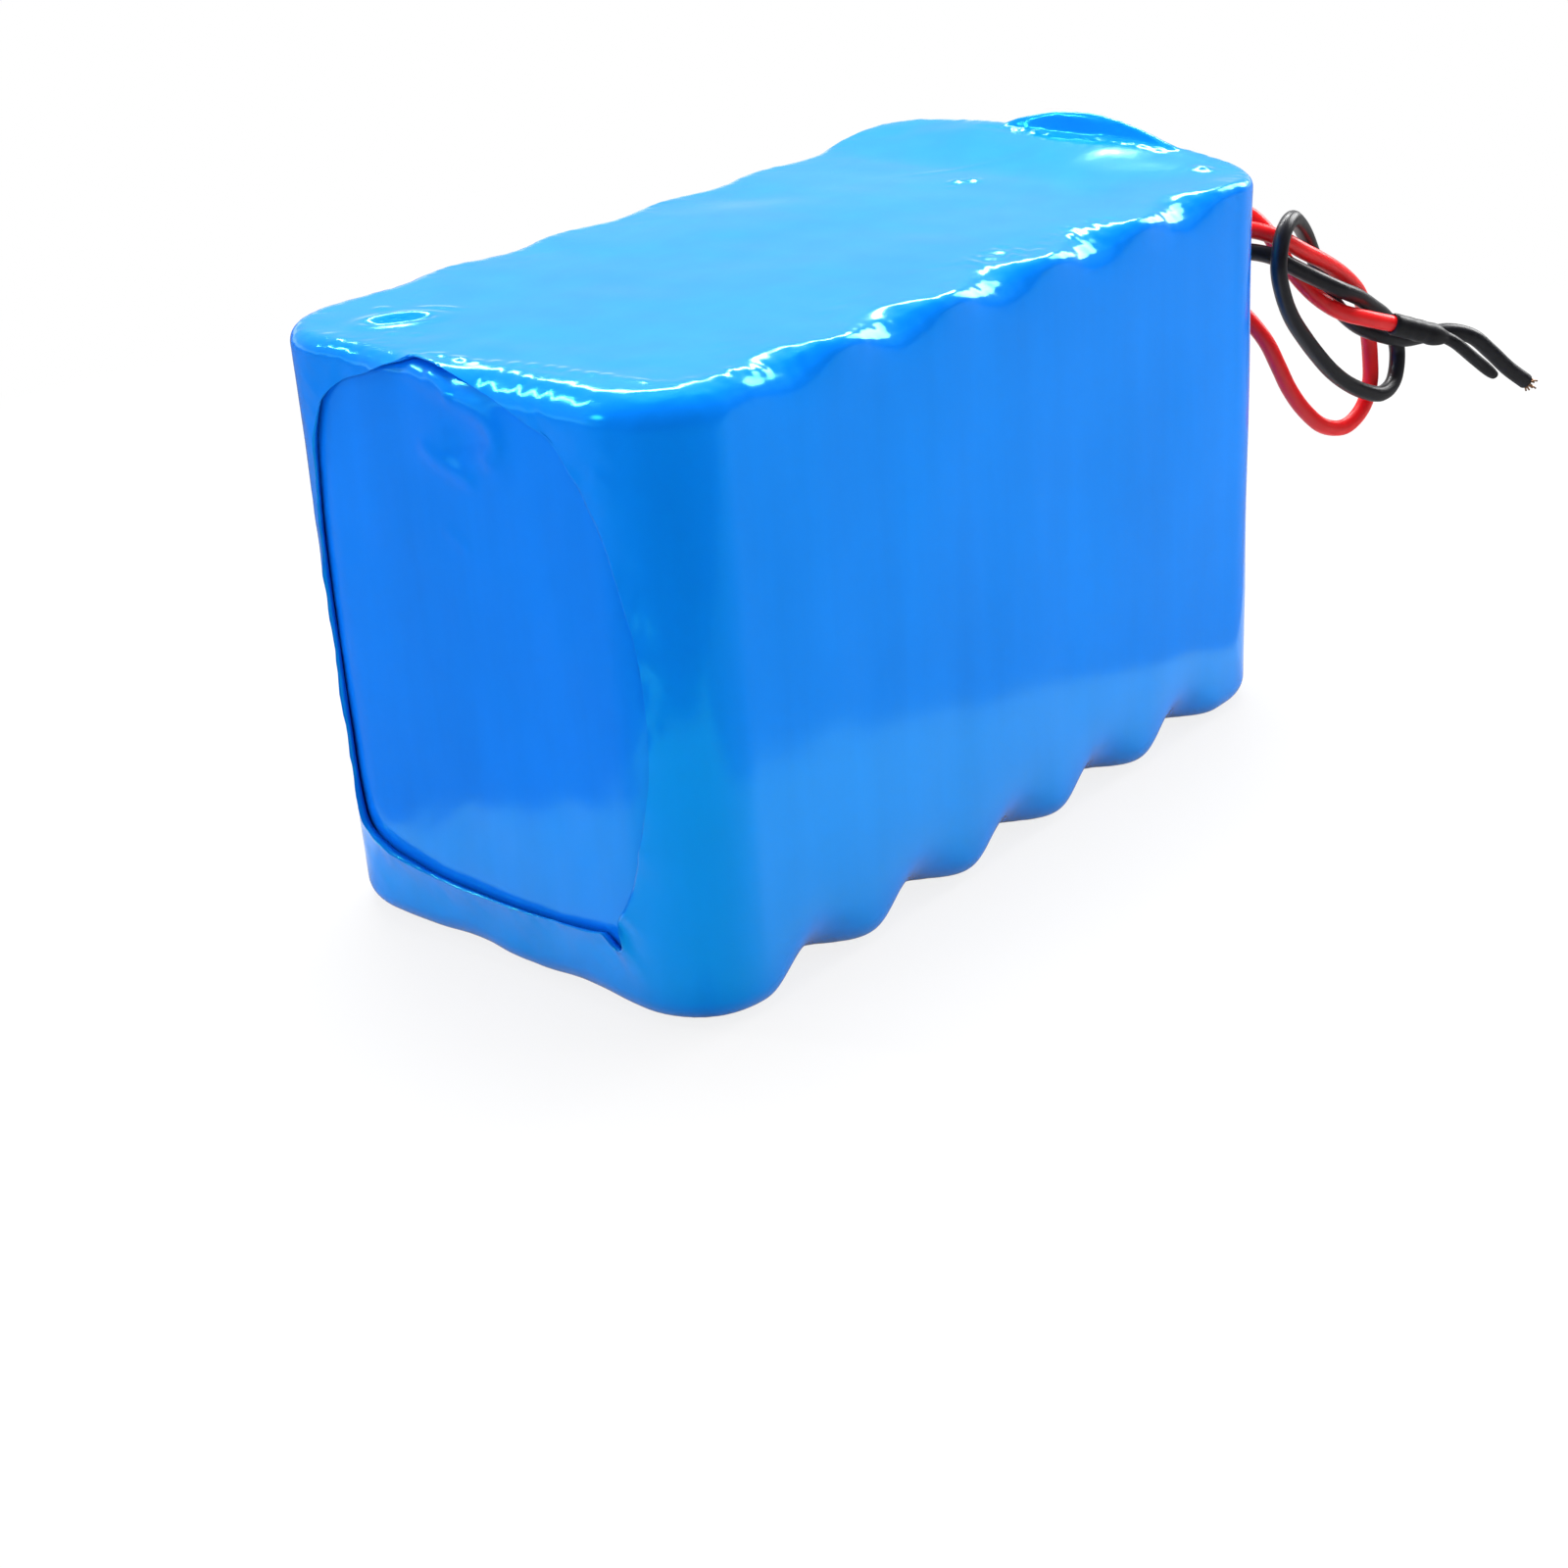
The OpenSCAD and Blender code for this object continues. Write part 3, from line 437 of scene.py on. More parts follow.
# Cut strands: radius, sides and steps of each, rings of [radius, count], how far inside the lead they
# start, and the ranges of their turn in the ring, their lean and their length
STRAND_R, STRAND_SIDES, STRAND_STEPS = 0.13, 6, 5
STRAND_RINGS = ((0.0, 1), (0.3, 6), (0.58, 11))
STRAND_ROOT = 0.4
STRAND_TURN, STRAND_LEAN, STRAND_LENGTH = (-0.15, 0.15), (0.0, 0.35), (0.8, 1.5)


def make_strands():
    """Cut copper strands that splay a little at the black lead's tip."""
    tip = np.array(NEGATIVE_ROUTE[-1])
    out = tip - np.array(NEGATIVE_ROUTE[-2])
    out /= np.linalg.norm(out)
    u = np.cross(out, (0.0, 0.0, 1.0))
    u /= np.linalg.norm(u)
    v = np.cross(out, u)
    draw = np.random.RandomState(4)
    radii = np.full(STRAND_STEPS, STRAND_R)
    points, faces = [], []
    for ring, count in STRAND_RINGS:
        for k in range(count):
            a = 2 * np.pi * k / count + draw.uniform(*STRAND_TURN)
            sideways = math.cos(a) * u + math.sin(a) * v
            lean = draw.uniform(*STRAND_LEAN) * sideways
            s = np.linspace(-STRAND_ROOT, draw.uniform(*STRAND_LENGTH), STRAND_STEPS)[:, None]
            route = tip + ring * sideways + out * s + lean * np.maximum(s, 0) ** 2
            p, f = closed_tube(tube_rings(route, radii, STRAND_SIDES))
            faces += [tuple(i + len(points) for i in face) for face in f]
            points += p.tolist()
    return new_mesh("cut_strands", points, faces)


def make_leads():
    red_route = np.vstack([smooth_route(POSITIVE_ROUTE + [tuple(CAP_START)], 6),
                           CAP_START + CAP_AXIS * CAP_GRIP])
    red = dress(lead_curve("red_lead", red_route), PACK_BODY, "red_pvc", "positive_lead")
    black = dress(lead_curve("black_lead", smooth_route(NEGATIVE_ROUTE, 6)), PACK_BODY, "black_pvc",
                  "negative_lead")
    cap = dress(make_cap(), CAP_BODY, "cap_black", "lead_cap")
    strands = dress(make_strands(), PACK_BODY, "copper", "negative_strands")


# Film surface: the CAD's distance function for arrays of points, with the finer notches and the shoulder

# Steps by which a ray or a rim is narrowed down, and a ray's longest reach
HALVINGS, RAY_REACH = 30, 60.0
# Number of waves that make up a ripple
RIPPLE_COUNT = 14


def gap_wave(s, n):
    """1 midway between two cells of a row of n, 0 at the cells and past the end ones."""
    wave = (1 + np.cos(2 * np.pi * (s / PITCH + (n % 2) / 2))) / 2
    return np.where(np.abs(s) > (n - 1) / 2 * PITCH, 0.0, wave)


def notch_at(x, y):
    at_end = np.where(np.abs(x) > CORE_X, END_SHARE * gap_wave(y - BLOCK_Y, CELLS_WIDE), 0.0)
    along_side = np.where(y > 0, REAR_SHARE, 1.0) * gap_wave(x - BLOCK_X, CELLS_LONG)
    return np.where(np.abs(y) > CORE_Y, along_side, at_end)


def shoulder(x, y):
    """What the top edge's bend radius gains towards the near end, most at its front corner."""
    share = SHOULDER_BACK + (1 - SHOULDER_BACK) * ease(-y, -8, 4)
    return SHOULDER_R * ease(-x, SHOULDER_FROM, SHOULDER_FULL) * share


def corner_d(a, b, r):
    return np.minimum(np.maximum(a, b), 0) + np.hypot(np.maximum(a, 0), np.maximum(b, 0)) - r


def plan_d(x, y):
    """Distance from the pack's outline as seen from above, negative inside."""
    return corner_d(np.abs(x) - CORE_X, np.abs(y) - CORE_Y, CORNER_R)


def film_d(p):
    """Distance from the pack's outer surface, negative inside."""
    x, y, z = p[..., 0], p[..., 1], p[..., 2]
    w = notch_at(x, y)
    edge = (np.where(z > HALF_H, top, bottom) for top, bottom in zip(TOP_EDGE, BOTTOM_EDGE))
    crest_r, notch_r, flute_depth, flute_h = edge
    crest_r = crest_r + np.where(z > HALF_H, shoulder(x, y), 0.0)
    r = crest_r + np.maximum(notch_r - crest_r, 0.0) * w
    depth = HALF_H - np.abs(z - HALF_H)
    fade = np.maximum(0, 1 - depth / flute_h) ** 2
    return corner_d(plan_d(x, y) + flute_depth * w * fade + r, r - depth, r)


def film_hit(start, direction, inset):
    """Where rays from inside the pack come to the surface that lies inset below the outer one."""
    low = np.zeros(start.shape[:-1])
    high = np.full(start.shape[:-1], RAY_REACH)
    for _ in range(HALVINGS):
        middle = (low + high) / 2
        inside = film_d(start + direction * middle[..., None]) < -inset
        low = np.where(inside, middle, low)
        high = np.where(inside, high, middle)
    return start + direction * low[..., None]


def film_normal(p):
    step = 0.02
    grad = np.stack([film_d(p + step * axis) - film_d(p - step * axis) for axis in np.eye(3)], -1)
    return grad / np.maximum(np.linalg.norm(grad, axis=-1, keepdims=True), 1e-9)


def ripple(p, height, wavelength, seed):
    """Smooth random waves of about that height and wavelength."""
    draw = np.random.RandomState(seed)
    total = np.zeros(p.shape[:-1])
    for _ in range(RIPPLE_COUNT):
        k = draw.normal(size=3)
        k *= 2 * np.pi / (wavelength * np.linalg.norm(k) * draw.uniform(0.75, 1.35))
        total += np.sin(p @ k + draw.uniform(0, 2 * np.pi))
    return height * total / math.sqrt(RIPPLE_COUNT)


def ripples(p, waves):
    return sum(ripple(p, *wave) for wave in waves)


def mark_height(u, v, marks):
    """Height of marks: middle, half-lengths, turn in degrees, height, and sharpness of the wall."""
    total = np.zeros(u.shape)
    for (mid_u, mid_v), (half_u, half_v), turn, height, sharp in marks:
        c, s = math.cos(math.radians(turn)), math.sin(math.radians(turn))
        du, dv = u - mid_u, v - mid_v
        far = ((c * du + s * dv) / half_u) ** 2 + ((c * dv - s * du) / half_v) ** 2
        total += height * bell(far ** sharp)
    return total


# Outline of the opening in each small end: [Y, Z], seen from outside at the near end
OPENING = [
    (4.6, 70.4), (6.6, 69.8), (9.4, 69), (12.4, 67.9), (15.5, 66.9), (17.8, 65.6), (19.6, 64), (20.7, 61.9),
    (21.8, 58.9), (22.5, 55.5), (23.2, 50.8), (23.8, 44.9), (24.2, 36.5), (24.4, 29.1), (24.3, 20.4),
    (23.7, 14.9), (22.5, 12), (18.8, 10), (16.6, 9.5), (10.5, 8.6), (2.4, 8.3), (-5.6, 8.5), (-11.8, 9),
    (-16.5, 10), (-19.4, 13), (-21, 16.6), (-22.7, 22.4), (-24.2, 29.6), (-24.5, 36.4), (-24.1, 43.9),
    (-23.1, 49.3), (-21.7, 54.6), (-20, 58.5), (-18.2, 61.7), (-14.9, 65.1), (-8.7, 67.7), (-4.3, 68.9),
    (0.5, 69.8), (3.2, 70.2)]
OPENING_MIDDLE = np.array([0.0, 38.0])
# The small pucker at the opening's lower front corner: its direction and width in degrees, and its depth
PUCKER_TURN, PUCKER_WIDTH, PUCKER_DEPTH = -122.5, 2.4, 2.6


def opening_reach(turn, pucker):
    """Distance from the opening's middle to its rim, at a turn in radians from +Y."""
    rim = smooth_route(OPENING + [OPENING[0]], 8)[:-1] - OPENING_MIDDLE
    angle = np.arctan2(rim[:, 1], rim[:, 0])
    order = np.argsort(angle)
    reach = np.interp(turn, angle[order], np.linalg.norm(rim, axis=1)[order], period=2 * np.pi)
    if pucker:
        off = (np.degrees(turn) - PUCKER_TURN) / PUCKER_WIDTH
        reach = reach + PUCKER_DEPTH * bell(off ** 4)
    return reach


def opening_gap(p, near_end):
    """Distance of points in the plane of a small end from the rim of its opening, positive on the lip."""
    y = p[..., 1] if near_end else -p[..., 1]
    z = p[..., 2] - OPENING_MIDDLE[1]
    return np.hypot(y, z) - opening_reach(np.arctan2(z, y), near_end)


# Steps of the films' meshes round an edge: in its bend, and on each flat part beside it, which has more of
# them at the outer film's top edges and most at the small ends
BEND_STEPS, FLAT_STEPS, TOP_STEPS, FINE_STEPS = 17, 7, 12, 22
# Steps between the edges, along X, Y and Z
OUTER_STEPS, INNER_STEPS = (220, 80, 36), (60, 98, 118)


def bend_angles(r, flat_count=FLAT_STEPS):
    """Angles from 0 to 90 degrees about the core's corner, close together on an edge of radius r."""
    flat = np.degrees(np.arctan2(np.linspace(0, CORNER_R - r, flat_count + 1)[:-1], CORNER_R))
    t = np.linspace(0, np.pi / 2, BEND_STEPS)
    bend = np.degrees(np.arctan2(CORNER_R - r + r * np.sin(t), CORNER_R - r + r * np.cos(t)))
    return np.concatenate([flat, bend, 90 - flat[::-1]])


def film_ring(cu, cv, upper, lower, us, vs):
    """Points [u, v, angle] round a tube: corner angles about its core, and places along its sides."""
    def at(values, u, v, angle):
        return [(u if u is not None else s, v if v is not None else s, angle) for s in values]
    rows = [(cu, cv, a) for a in upper] + at(us[::-1], None, cv, 90)
    rows += [(-cu, cv, 90 + a) for a in upper] + at(vs[::-1], -cu, None, 180)
    rows += [(-cu, -cv, 180 + a) for a in lower] + at(us, None, -cv, 270)
    rows += [(cu, -cv, 270 + a) for a in lower] + at(vs, cu, None, 360)
    return np.array(rows, float)


def inner_places(half, count):
    """Evenly spaced places between -half and half, without these two."""
    return list(np.linspace(-half, half, count + 2)[1:-1])


# The lip follows the edge for a share of the turn to the opening's rim, and for so many degrees at most.
# From there it takes a number of steps to the rim, which is looked for up to a reach inside the edge's core
LIP_BEND_TURN, LIP_BEND_SHARE = 66.0, 0.93
LIP_STEPS = 18
LIP_REACH = 25.0
# The lip's free edge turns under by this much, down to the inner film
HEM = 0.25


def lip_points(ring, near_end):
    """Rows of points from a small end's core plane round its edges and on to the rim of the opening."""
    sign = -1 if near_end else 1
    u, v, a = ring[:, 0], ring[:, 1], np.radians(ring[:, 2])
    base = np.stack([np.full(len(ring), sign * CORE_X), u, HALF_H + v], -1)
    side = np.stack([np.zeros(len(ring)), np.cos(a), np.sin(a)], -1)
    low, high = np.full(len(ring), -LIP_REACH), np.full(len(ring), CORNER_R)
    for _ in range(HALVINGS):
        middle = (low + high) / 2
        outside = opening_gap(base + side * middle[:, None], near_end) > 0
        high = np.where(outside, middle, high)
        low = np.where(outside, low, middle)
    last = np.minimum(LIP_BEND_SHARE * np.degrees(np.arctan2(CORNER_R, high)), LIP_BEND_TURN)
    bends = np.unique(np.concatenate([bend_angles(TOP_EDGE[0], FINE_STEPS), bend_angles(BOTTOM_EDGE[0])]))
    bends = bends[(bends > 1) & (bends < LIP_BEND_TURN)] / LIP_BEND_TURN
    rows = []
    for share in [*bends, 1.0]:
        turn = np.radians(last * share)[:, None]
        rows.append(film_hit(base, side * np.cos(turn) + (sign, 0, 0) * np.sin(turn), 0.0))
    edge = rows[-1]
    inward = (edge - (0, 0, OPENING_MIDDLE[1])) * (0, 1, 1)
    inward /= np.linalg.norm(inward, axis=1)[:, None]
    gap = opening_gap(edge, near_end)[:, None]
    for share in np.arange(1, LIP_STEPS + 1) / LIP_STEPS:
        place = edge - inward * gap * share
        rows.append(film_hit(place * (0, 1, 1), np.array([sign, 0.0, 0.0]), 0.0))
    normal = film_normal(rows[-1])
    outward = inward - normal * np.sum(inward * normal, axis=1, keepdims=True)
    outward /= np.linalg.norm(outward, axis=1)[:, None]
    rows.append(rows[-1] + outward * HEM - normal * (INNER_INSET - FILM_T))
    return rows


# How far the lip's free edge stands off the small end: everywhere, on its left, below and at its peak
LIP_STAND, LIP_LEFT, LIP_BELOW, LIP_PEAK = 0.08, 0.3, 0.5, 0.8
# Bulges of that edge, as marks in Y and Z
LIP_BULGES = [
    ((25, 36), (4, 16), 0, 0.25, 1),
    ((22, 12), (4, 5), 0, 0.25, 1),
    ((-18.5, 10), (3, 4), 0, 0.4, 1),
]
# Height, wavelength and seed of its waves, and how far from the edge its stand and its waves reach
LIP_WAVES = [(0.16, 6.0, 21), (0.05, 2.6, 22)]
STAND_REACH, WAVE_REACH = 1.6, 4.0


def lip_lift(p, near_end):
    """How far the free edge of the outer film stands off the small end."""
    y = p[..., 1] if near_end else -p[..., 1]
    z = p[..., 2]
    gap = np.maximum(opening_gap(p, near_end), 0)
    on_end = ease(np.abs(p[..., 0]), HALF_L - 2.5, HALF_L - 0.6)
    left = LIP_LEFT * ease(y, 4, 20) * ease(-z, -68, -58)
    below = LIP_BELOW * bell(((z - 9) / 5) ** 2)
    peak = LIP_PEAK * bell(((y - 4) / 7) ** 2) * ease(z, 60, 69)
    stand = LIP_STAND + left + below + peak + mark_height(y, z, LIP_BULGES)
    waves = ripples(p, LIP_WAVES)
    return on_end * (stand * np.exp(-gap / STAND_REACH) + waves * np.exp(-gap / WAVE_REACH))


# Dents and bumps in the top, as marks in X and Y
TOP_MARKS = [
    ((-47.5, 17.2), (4.9, 2.9), -39, 0.5, 2),
    ((-47.5, 17.2), (3.5, 1.7), -39, -0.98, 2),
    ((-45.2, 22.4), (0.8, 0.6), -39, 0.25, 1),
    ((-42, 17), (2.2, 0.6), -66, 0.22, 1),
    ((-51.5, 13.9), (0.6, 0.5), 0, 0.12, 1),
    ((-50.4, 11.1), (0.5, 0.4), 0, 0.1, 1),
    ((32.4, 1.6), (0.8, 0.7), 0, 0.34, 1),
    ((33.8, 0.2), (0.9, 0.7), 0, 0.36, 1),
    ((30, 0.5), (0.5, 0.4), 0, 0.1, 1),
    ((50.7, -23), (1, 1), 0, 0.5, 1),
    ((25, -10), (3.4, 0.5), 24, 0.05, 1),
    ((38, 6), (6, 0.6), -35, 0.06, 1),
    ((-18, 21), (5, 8), 20, -0.15, 1),
    ((14, 22), (5, 8), 20, -0.15, 1),
    ((53, -1), (0.8, 10), 0, -0.35, 1),
]
# Lines of small beads in the shrunk film: places X and Y that they run through, and their highest height
BEAD_LINES = [
    ([(-54.8, 4), (-54, -2), (-52.4, -10.6), (-51.6, -18), (-50.9, -23.8), (-46.9, -27.4), (-40, -28.8),
      (-32, -29)], 0.2),
    ([(53.2, -15), (52.9, -9), (53.1, -3), (53, 3), (53.2, 8)], 0.3),
]
BEAD_SIZE, BEAD_SHIFT = (0.7, 0.6), 0.4
# Crumpled patches of the top: middle X and Y, and half-lengths
TOP_CRUMPLES = [((5, -25.2), (5.5, 2.6)), ((19, -26.5), (5.5, 1.6)), ((53.2, -2), (0.7, 10))]
# Height, wavelength and seed of the outer film's broad waves, then of the pleats in its notches, the beads
# along the top's edges, the upright streaks near the ends and the crumpled patches
FILM_WAVES = [(0.06, 24, 11), (0.015, 9, 12)]
PLEATS, EDGE_BEADS = (0.03, 1.5, 13), (0.03, 1.7, 14)
END_STREAKS, CRUMPLES = (0.03, 6, 15), (0.13, 2.0, 16)
# The film's loose end over the lead end swells from one place in X to another. A fold stands on it between
# two places in Y, and rises and falls over four places in X. The front corner droops
SWELL_RISE, SWELL_START, SWELL_END = 2.2, 37, 56
FOLD_RISE, FOLD_FRONT, FOLD_BACK = 2.4, -17.0, 10.5
FOLD_RIDGE = (53.9, 54.9, 55.2, 56.4)
DROOP, DROOP_REACH = 0.4, 8


def bead_marks():
    """Beads of the lines, as marks like the dents and bumps."""
    draw = np.random.RandomState(7)
    marks = []
    for line, height in BEAD_LINES:
        for place in smooth_route(np.array(line), 4):
            middle = place + draw.uniform(-BEAD_SHIFT, BEAD_SHIFT, 2)
            marks.append((middle, BEAD_SIZE, 0, height * draw.uniform(0.4, 1.0), 1))
    return marks


def film_relief(p):
    """Height of the outer film's waves, pleats, dents and crumples over the plain surface."""
    x, y, z = p[..., 0], p[..., 1], p[..., 2]
    depth = HALF_H - np.abs(z - HALF_H)
    edge = bell(((depth - 1.0) / 2.2) ** 2)
    notch = notch_at(x, y)
    height = ripples(p, FILM_WAVES)
    height += notch * edge * ripple(p * (0.3, 1, 1), *PLEATS)
    beads = bell(((plan_d(x, y) + 1.6) / 2) ** 2) * ease(z, TOP_Z - 4, TOP_Z - 2)
    height += beads * ripple(p * (1, 1, 0.2), *EDGE_BEADS)
    height += ripple(p * (1, 1, 0.12), *END_STREAKS) * ease(np.abs(x), 42, 50)
    on_top = ease(z, TOP_Z - 2.2, TOP_Z - 0.6)
    height += on_top * mark_height(x, y, TOP_MARKS + bead_marks())
    crumples = on_top * ripple(p, *CRUMPLES)
    for (mid_x, mid_y), (half_x, half_y) in TOP_CRUMPLES:
        height += crumples * bell(((x - mid_x) / half_x) ** 4 + ((y - mid_y) / half_y) ** 4)
    return height


def loose_end(p):
    """Rise of the film's loose end over the lead end, and the droop of its front corner."""
    x, y, z = p[..., 0], p[..., 1], p[..., 2]
    swell = SWELL_RISE * ease(x, SWELL_START, SWELL_END) * ease(y, -29, -5) * (1 - 0.25 * ease(y, 12, 24))
    share = np.clip((y - FOLD_FRONT) / (FOLD_BACK - FOLD_FRONT), 0, 1)
    rise_from, rise_to, fall_from, fall_to = FOLD_RIDGE
    ridge = ease(x, rise_from, rise_to) * ease(-x, -fall_to, -fall_from)
    fold = FOLD_RISE * np.sin(np.pi * share ** 1.25) ** 0.8 * ridge
    droop = DROOP * bell(((x - HALF_L) / DROOP_REACH) ** 2 + ((y + HALF_W) / DROOP_REACH) ** 2)
    return (swell + fold - droop) * ease(z, TOP_Z - 4, TOP_Z - 0.5)


def thicken(film):
    shell = film.modifiers.new("thickness", "SOLIDIFY")
    shell.thickness = FILM_T * MM
    shell.offset = -1


def make_outer_film():
    steps_x, steps_y, steps_z = OUTER_STEPS
    ring = film_ring(CORE_Y, CORE_Z, bend_angles(TOP_EDGE[0], TOP_STEPS), bend_angles(BOTTOM_EDGE[0]),
                     inner_places(CORE_Y, steps_y), inner_places(CORE_Z, steps_z))
    a = np.radians(ring[:, 2])
    side = np.stack([np.zeros(len(ring)), np.cos(a), np.sin(a)], -1)
    near_lip, far_lip = lip_points(ring, True), lip_points(ring, False)
    middle = []
    for x in np.linspace(-CORE_X, CORE_X, steps_x):
        base = np.stack([np.full(len(ring), x), ring[:, 0], HALF_H + ring[:, 1]], -1)
        middle.append(film_hit(base, side, 0.0))
    p = np.array(near_lip[::-1] + middle + far_lip)
    lift = np.where(p[..., 0] < 0, lip_lift(p, True), lip_lift(p, False))
    lift[[0, -1]] = 0
    p = p + film_normal(p) * (film_relief(p) + lift)[..., None]
    p[..., 2] = np.maximum(p[..., 2] + loose_end(p), 0.0)
    film = new_mesh("outer_film", p.reshape(-1, 3), grid_faces(*p.shape[:2]))
    thicken(film)
    dress(film, PACK_BODY, "outer_film", "outer_sleeve")


# Waves of the inner film at the small ends, and how far it sinks along the rim of its panel at the near end
PANEL_WAVES = [(0.05, 16, 31), (0.02, 5, 32)]
RIM_SINK = 0.12
# Dents in that panel, as marks in Y and Z
PANEL_MARKS = [
    ((-1.8, 63.6), (6.4, 4.6), -20, 0.7, 1),
    ((-2.4, 63.2), (3.4, 2.2), -24, -0.82, 1.1),
]
# Creases that stand out from it: points [Y, Z], half-width and height
PANEL_CREASES = [
    ([(5, 69.6), (2.4, 68.6), (-1.4, 67.4), (-4.6, 66.4), (-6.6, 65), (-7, 63.2), (-6, 61.6)], 1.3, 0.4),
    ([(2, 69.2), (0.4, 68.6), (-1, 67.6)], 0.6, 0.3),
    ([(3.6, 61), (2.2, 60.2), (0.8, 59.6), (-0.8, 59), (-2.2, 58.6)], 1.1, 0.3),
    ([(2.1, 52), (1, 51.4), (0, 51)], 0.8, 0.12),
]


def crease_height(u, v, creases):
    total = np.zeros(u.shape)
    for line, half_width, height in creases:
        route = smooth_route(line, 5)
        far = np.min([(u - a) ** 2 + (v - b) ** 2 for a, b in route], axis=0)
        total += height * bell(far / half_width ** 2)
    return total


def panel_relief(p):
    """Height of the inner film's bulge, dents and creases at the small ends."""
    y, z = p[..., 1], p[..., 2]
    near = ease(-p[..., 0], 50, 56)
    height = ripples(p, PANEL_WAVES)
    height += near * (mark_height(y, z, PANEL_MARKS) + crease_height(y, z, PANEL_CREASES))
    rim = bell(((np.abs(y) - 24.5) / 2.5) ** 2) + bell(((z - 8) / 2.2) ** 2)
    return height - RIM_SINK * near * rim


# Points this close to the rim of the lead hole are drawn to it
HOLE_SNAP = 0.28


def cut_lead_hole(points, faces):
    """Leaves the faces inside the lead hole out, and draws its rim to a true circle."""
    y, z = points[:, 1] - HOLE_Y, points[:, 2] - HOLE_Z
    r = np.hypot(y, z)
    at_end = points[:, 0] > CORE_X
    snap = at_end & (np.abs(r - HOLE_R) < HOLE_SNAP)
    points[snap, 1] = HOLE_Y + y[snap] / r[snap] * HOLE_R
    points[snap, 2] = HOLE_Z + z[snap] / r[snap] * HOLE_R
    gone = at_end & (r < HOLE_R + HOLE_SNAP)
    return points, [f for f in faces if not all(gone[i] for i in f)]


def make_inner_film():
    steps_x, steps_y, steps_z = INNER_STEPS
    round_corner = np.linspace(0, 90, 15)
    ring = film_ring(CORE_X, CORE_Y, round_corner, round_corner,
                     inner_places(CORE_X, steps_x), inner_places(CORE_Y, steps_y))
    above, below = bend_angles(TOP_EDGE[0], FINE_STEPS), bend_angles(BOTTOM_EDGE[0])
    above, below = (t[(t > 1) & (t < INNER_LIP_TURN)] for t in (above, below))
    stations = [(-CORE_Z, -t) for t in below[::-1]]
    stations += [(z, 0.0) for z in np.linspace(-CORE_Z, CORE_Z, steps_z)]
    stations += [(CORE_Z, t) for t in above]
    w, tilt = np.array(stations).T
    tilt = np.radians(tilt)[:, None]
    a = np.radians(ring[:, 2])[None]
    shape = (len(stations), len(ring))
    start = np.stack([np.broadcast_to(ring[:, 0], shape), np.broadcast_to(ring[:, 1], shape),
                      HALF_H + np.broadcast_to(w[:, None], shape)], -1)
    direction = np.stack([np.cos(tilt) * np.cos(a), np.cos(tilt) * np.sin(a),
                          np.broadcast_to(np.sin(tilt), shape)], -1)
    p = film_hit(start, direction, INNER_INSET)
    normal = film_normal(p)
    ends = ease(np.abs(p[..., 0]), 54, 56.6)
    p = p + normal * (panel_relief(p) * ends)[..., None]
    points, faces = cut_lead_hole(p.reshape(-1, 3), grid_faces(*shape))
    film = new_mesh("inner_film", points, faces)
    thicken(film)
    dress(film, PACK_BODY, "inner_film", "inner_sleeve")


# CAD nodes that stay as they are

def dress_cad_nodes():
    for part in frame["record"]["subparts"]:
        data = nodes[part["node"]].data
        data.materials.clear()
        data.materials.append(MATERIALS[part["material_slot"]])


# Stage

# The world's light on the object, the floor's grey and half-length, and the share of plain white that the
# camera sees on the floor, which grows to all of it between two distances
AMBIENT = 0.38
FLOOR_GREY, FLOOR_HALF = 0.62, 3000.0
FLOOR_OWN_WHITE, FLOOR_NEAR, FLOOR_FAR = 0.84, 90.0, 260.0
# The film mirrors a white sheet that lies round the pack, and grey past three of its edges: the turn of
# each edge, its distance from the middle, and the share of white past it
SHEET_SIDES = ((27.7, 66.3, 0.25), (225.5, 80.6, 0.06), (-42.2, 138.8, 0.0))
SHEET_BLUR = 2.0
PAST_SHEET = 0.05
# How far to both sides of the pack's outline a painted contact shade fades, in mirrored rays
PAINTED_SHADE_REACH = 8.0
# Behind the pack the film mirrors a white backdrop, with a grey room above it and a dark one in front: the
# way to the backdrop, how squarely a view has to point there to see it, and the height of view of its top
BACKDROP_WAY, BACKDROP_SIDES = (0.35, 0.94, 0.0), (-0.1, 0.35)
BACKDROP_TOP, BACKDROP_BLUR = 0.1, 0.05
ROOM_GREY, FRONT_GREY = 0.45, 0.05


def maximum(tree, first, second):
    return math_node(tree, "MAXIMUM", first, second)


def product(tree, first, second):
    return math_node(tree, "MULTIPLY", first, second)


def mirrored(tree, path):
    """1 for rays that are mirrored or pass through glass."""
    return maximum(tree, path.outputs["Is Glossy Ray"], path.outputs["Is Transmission Ray"])


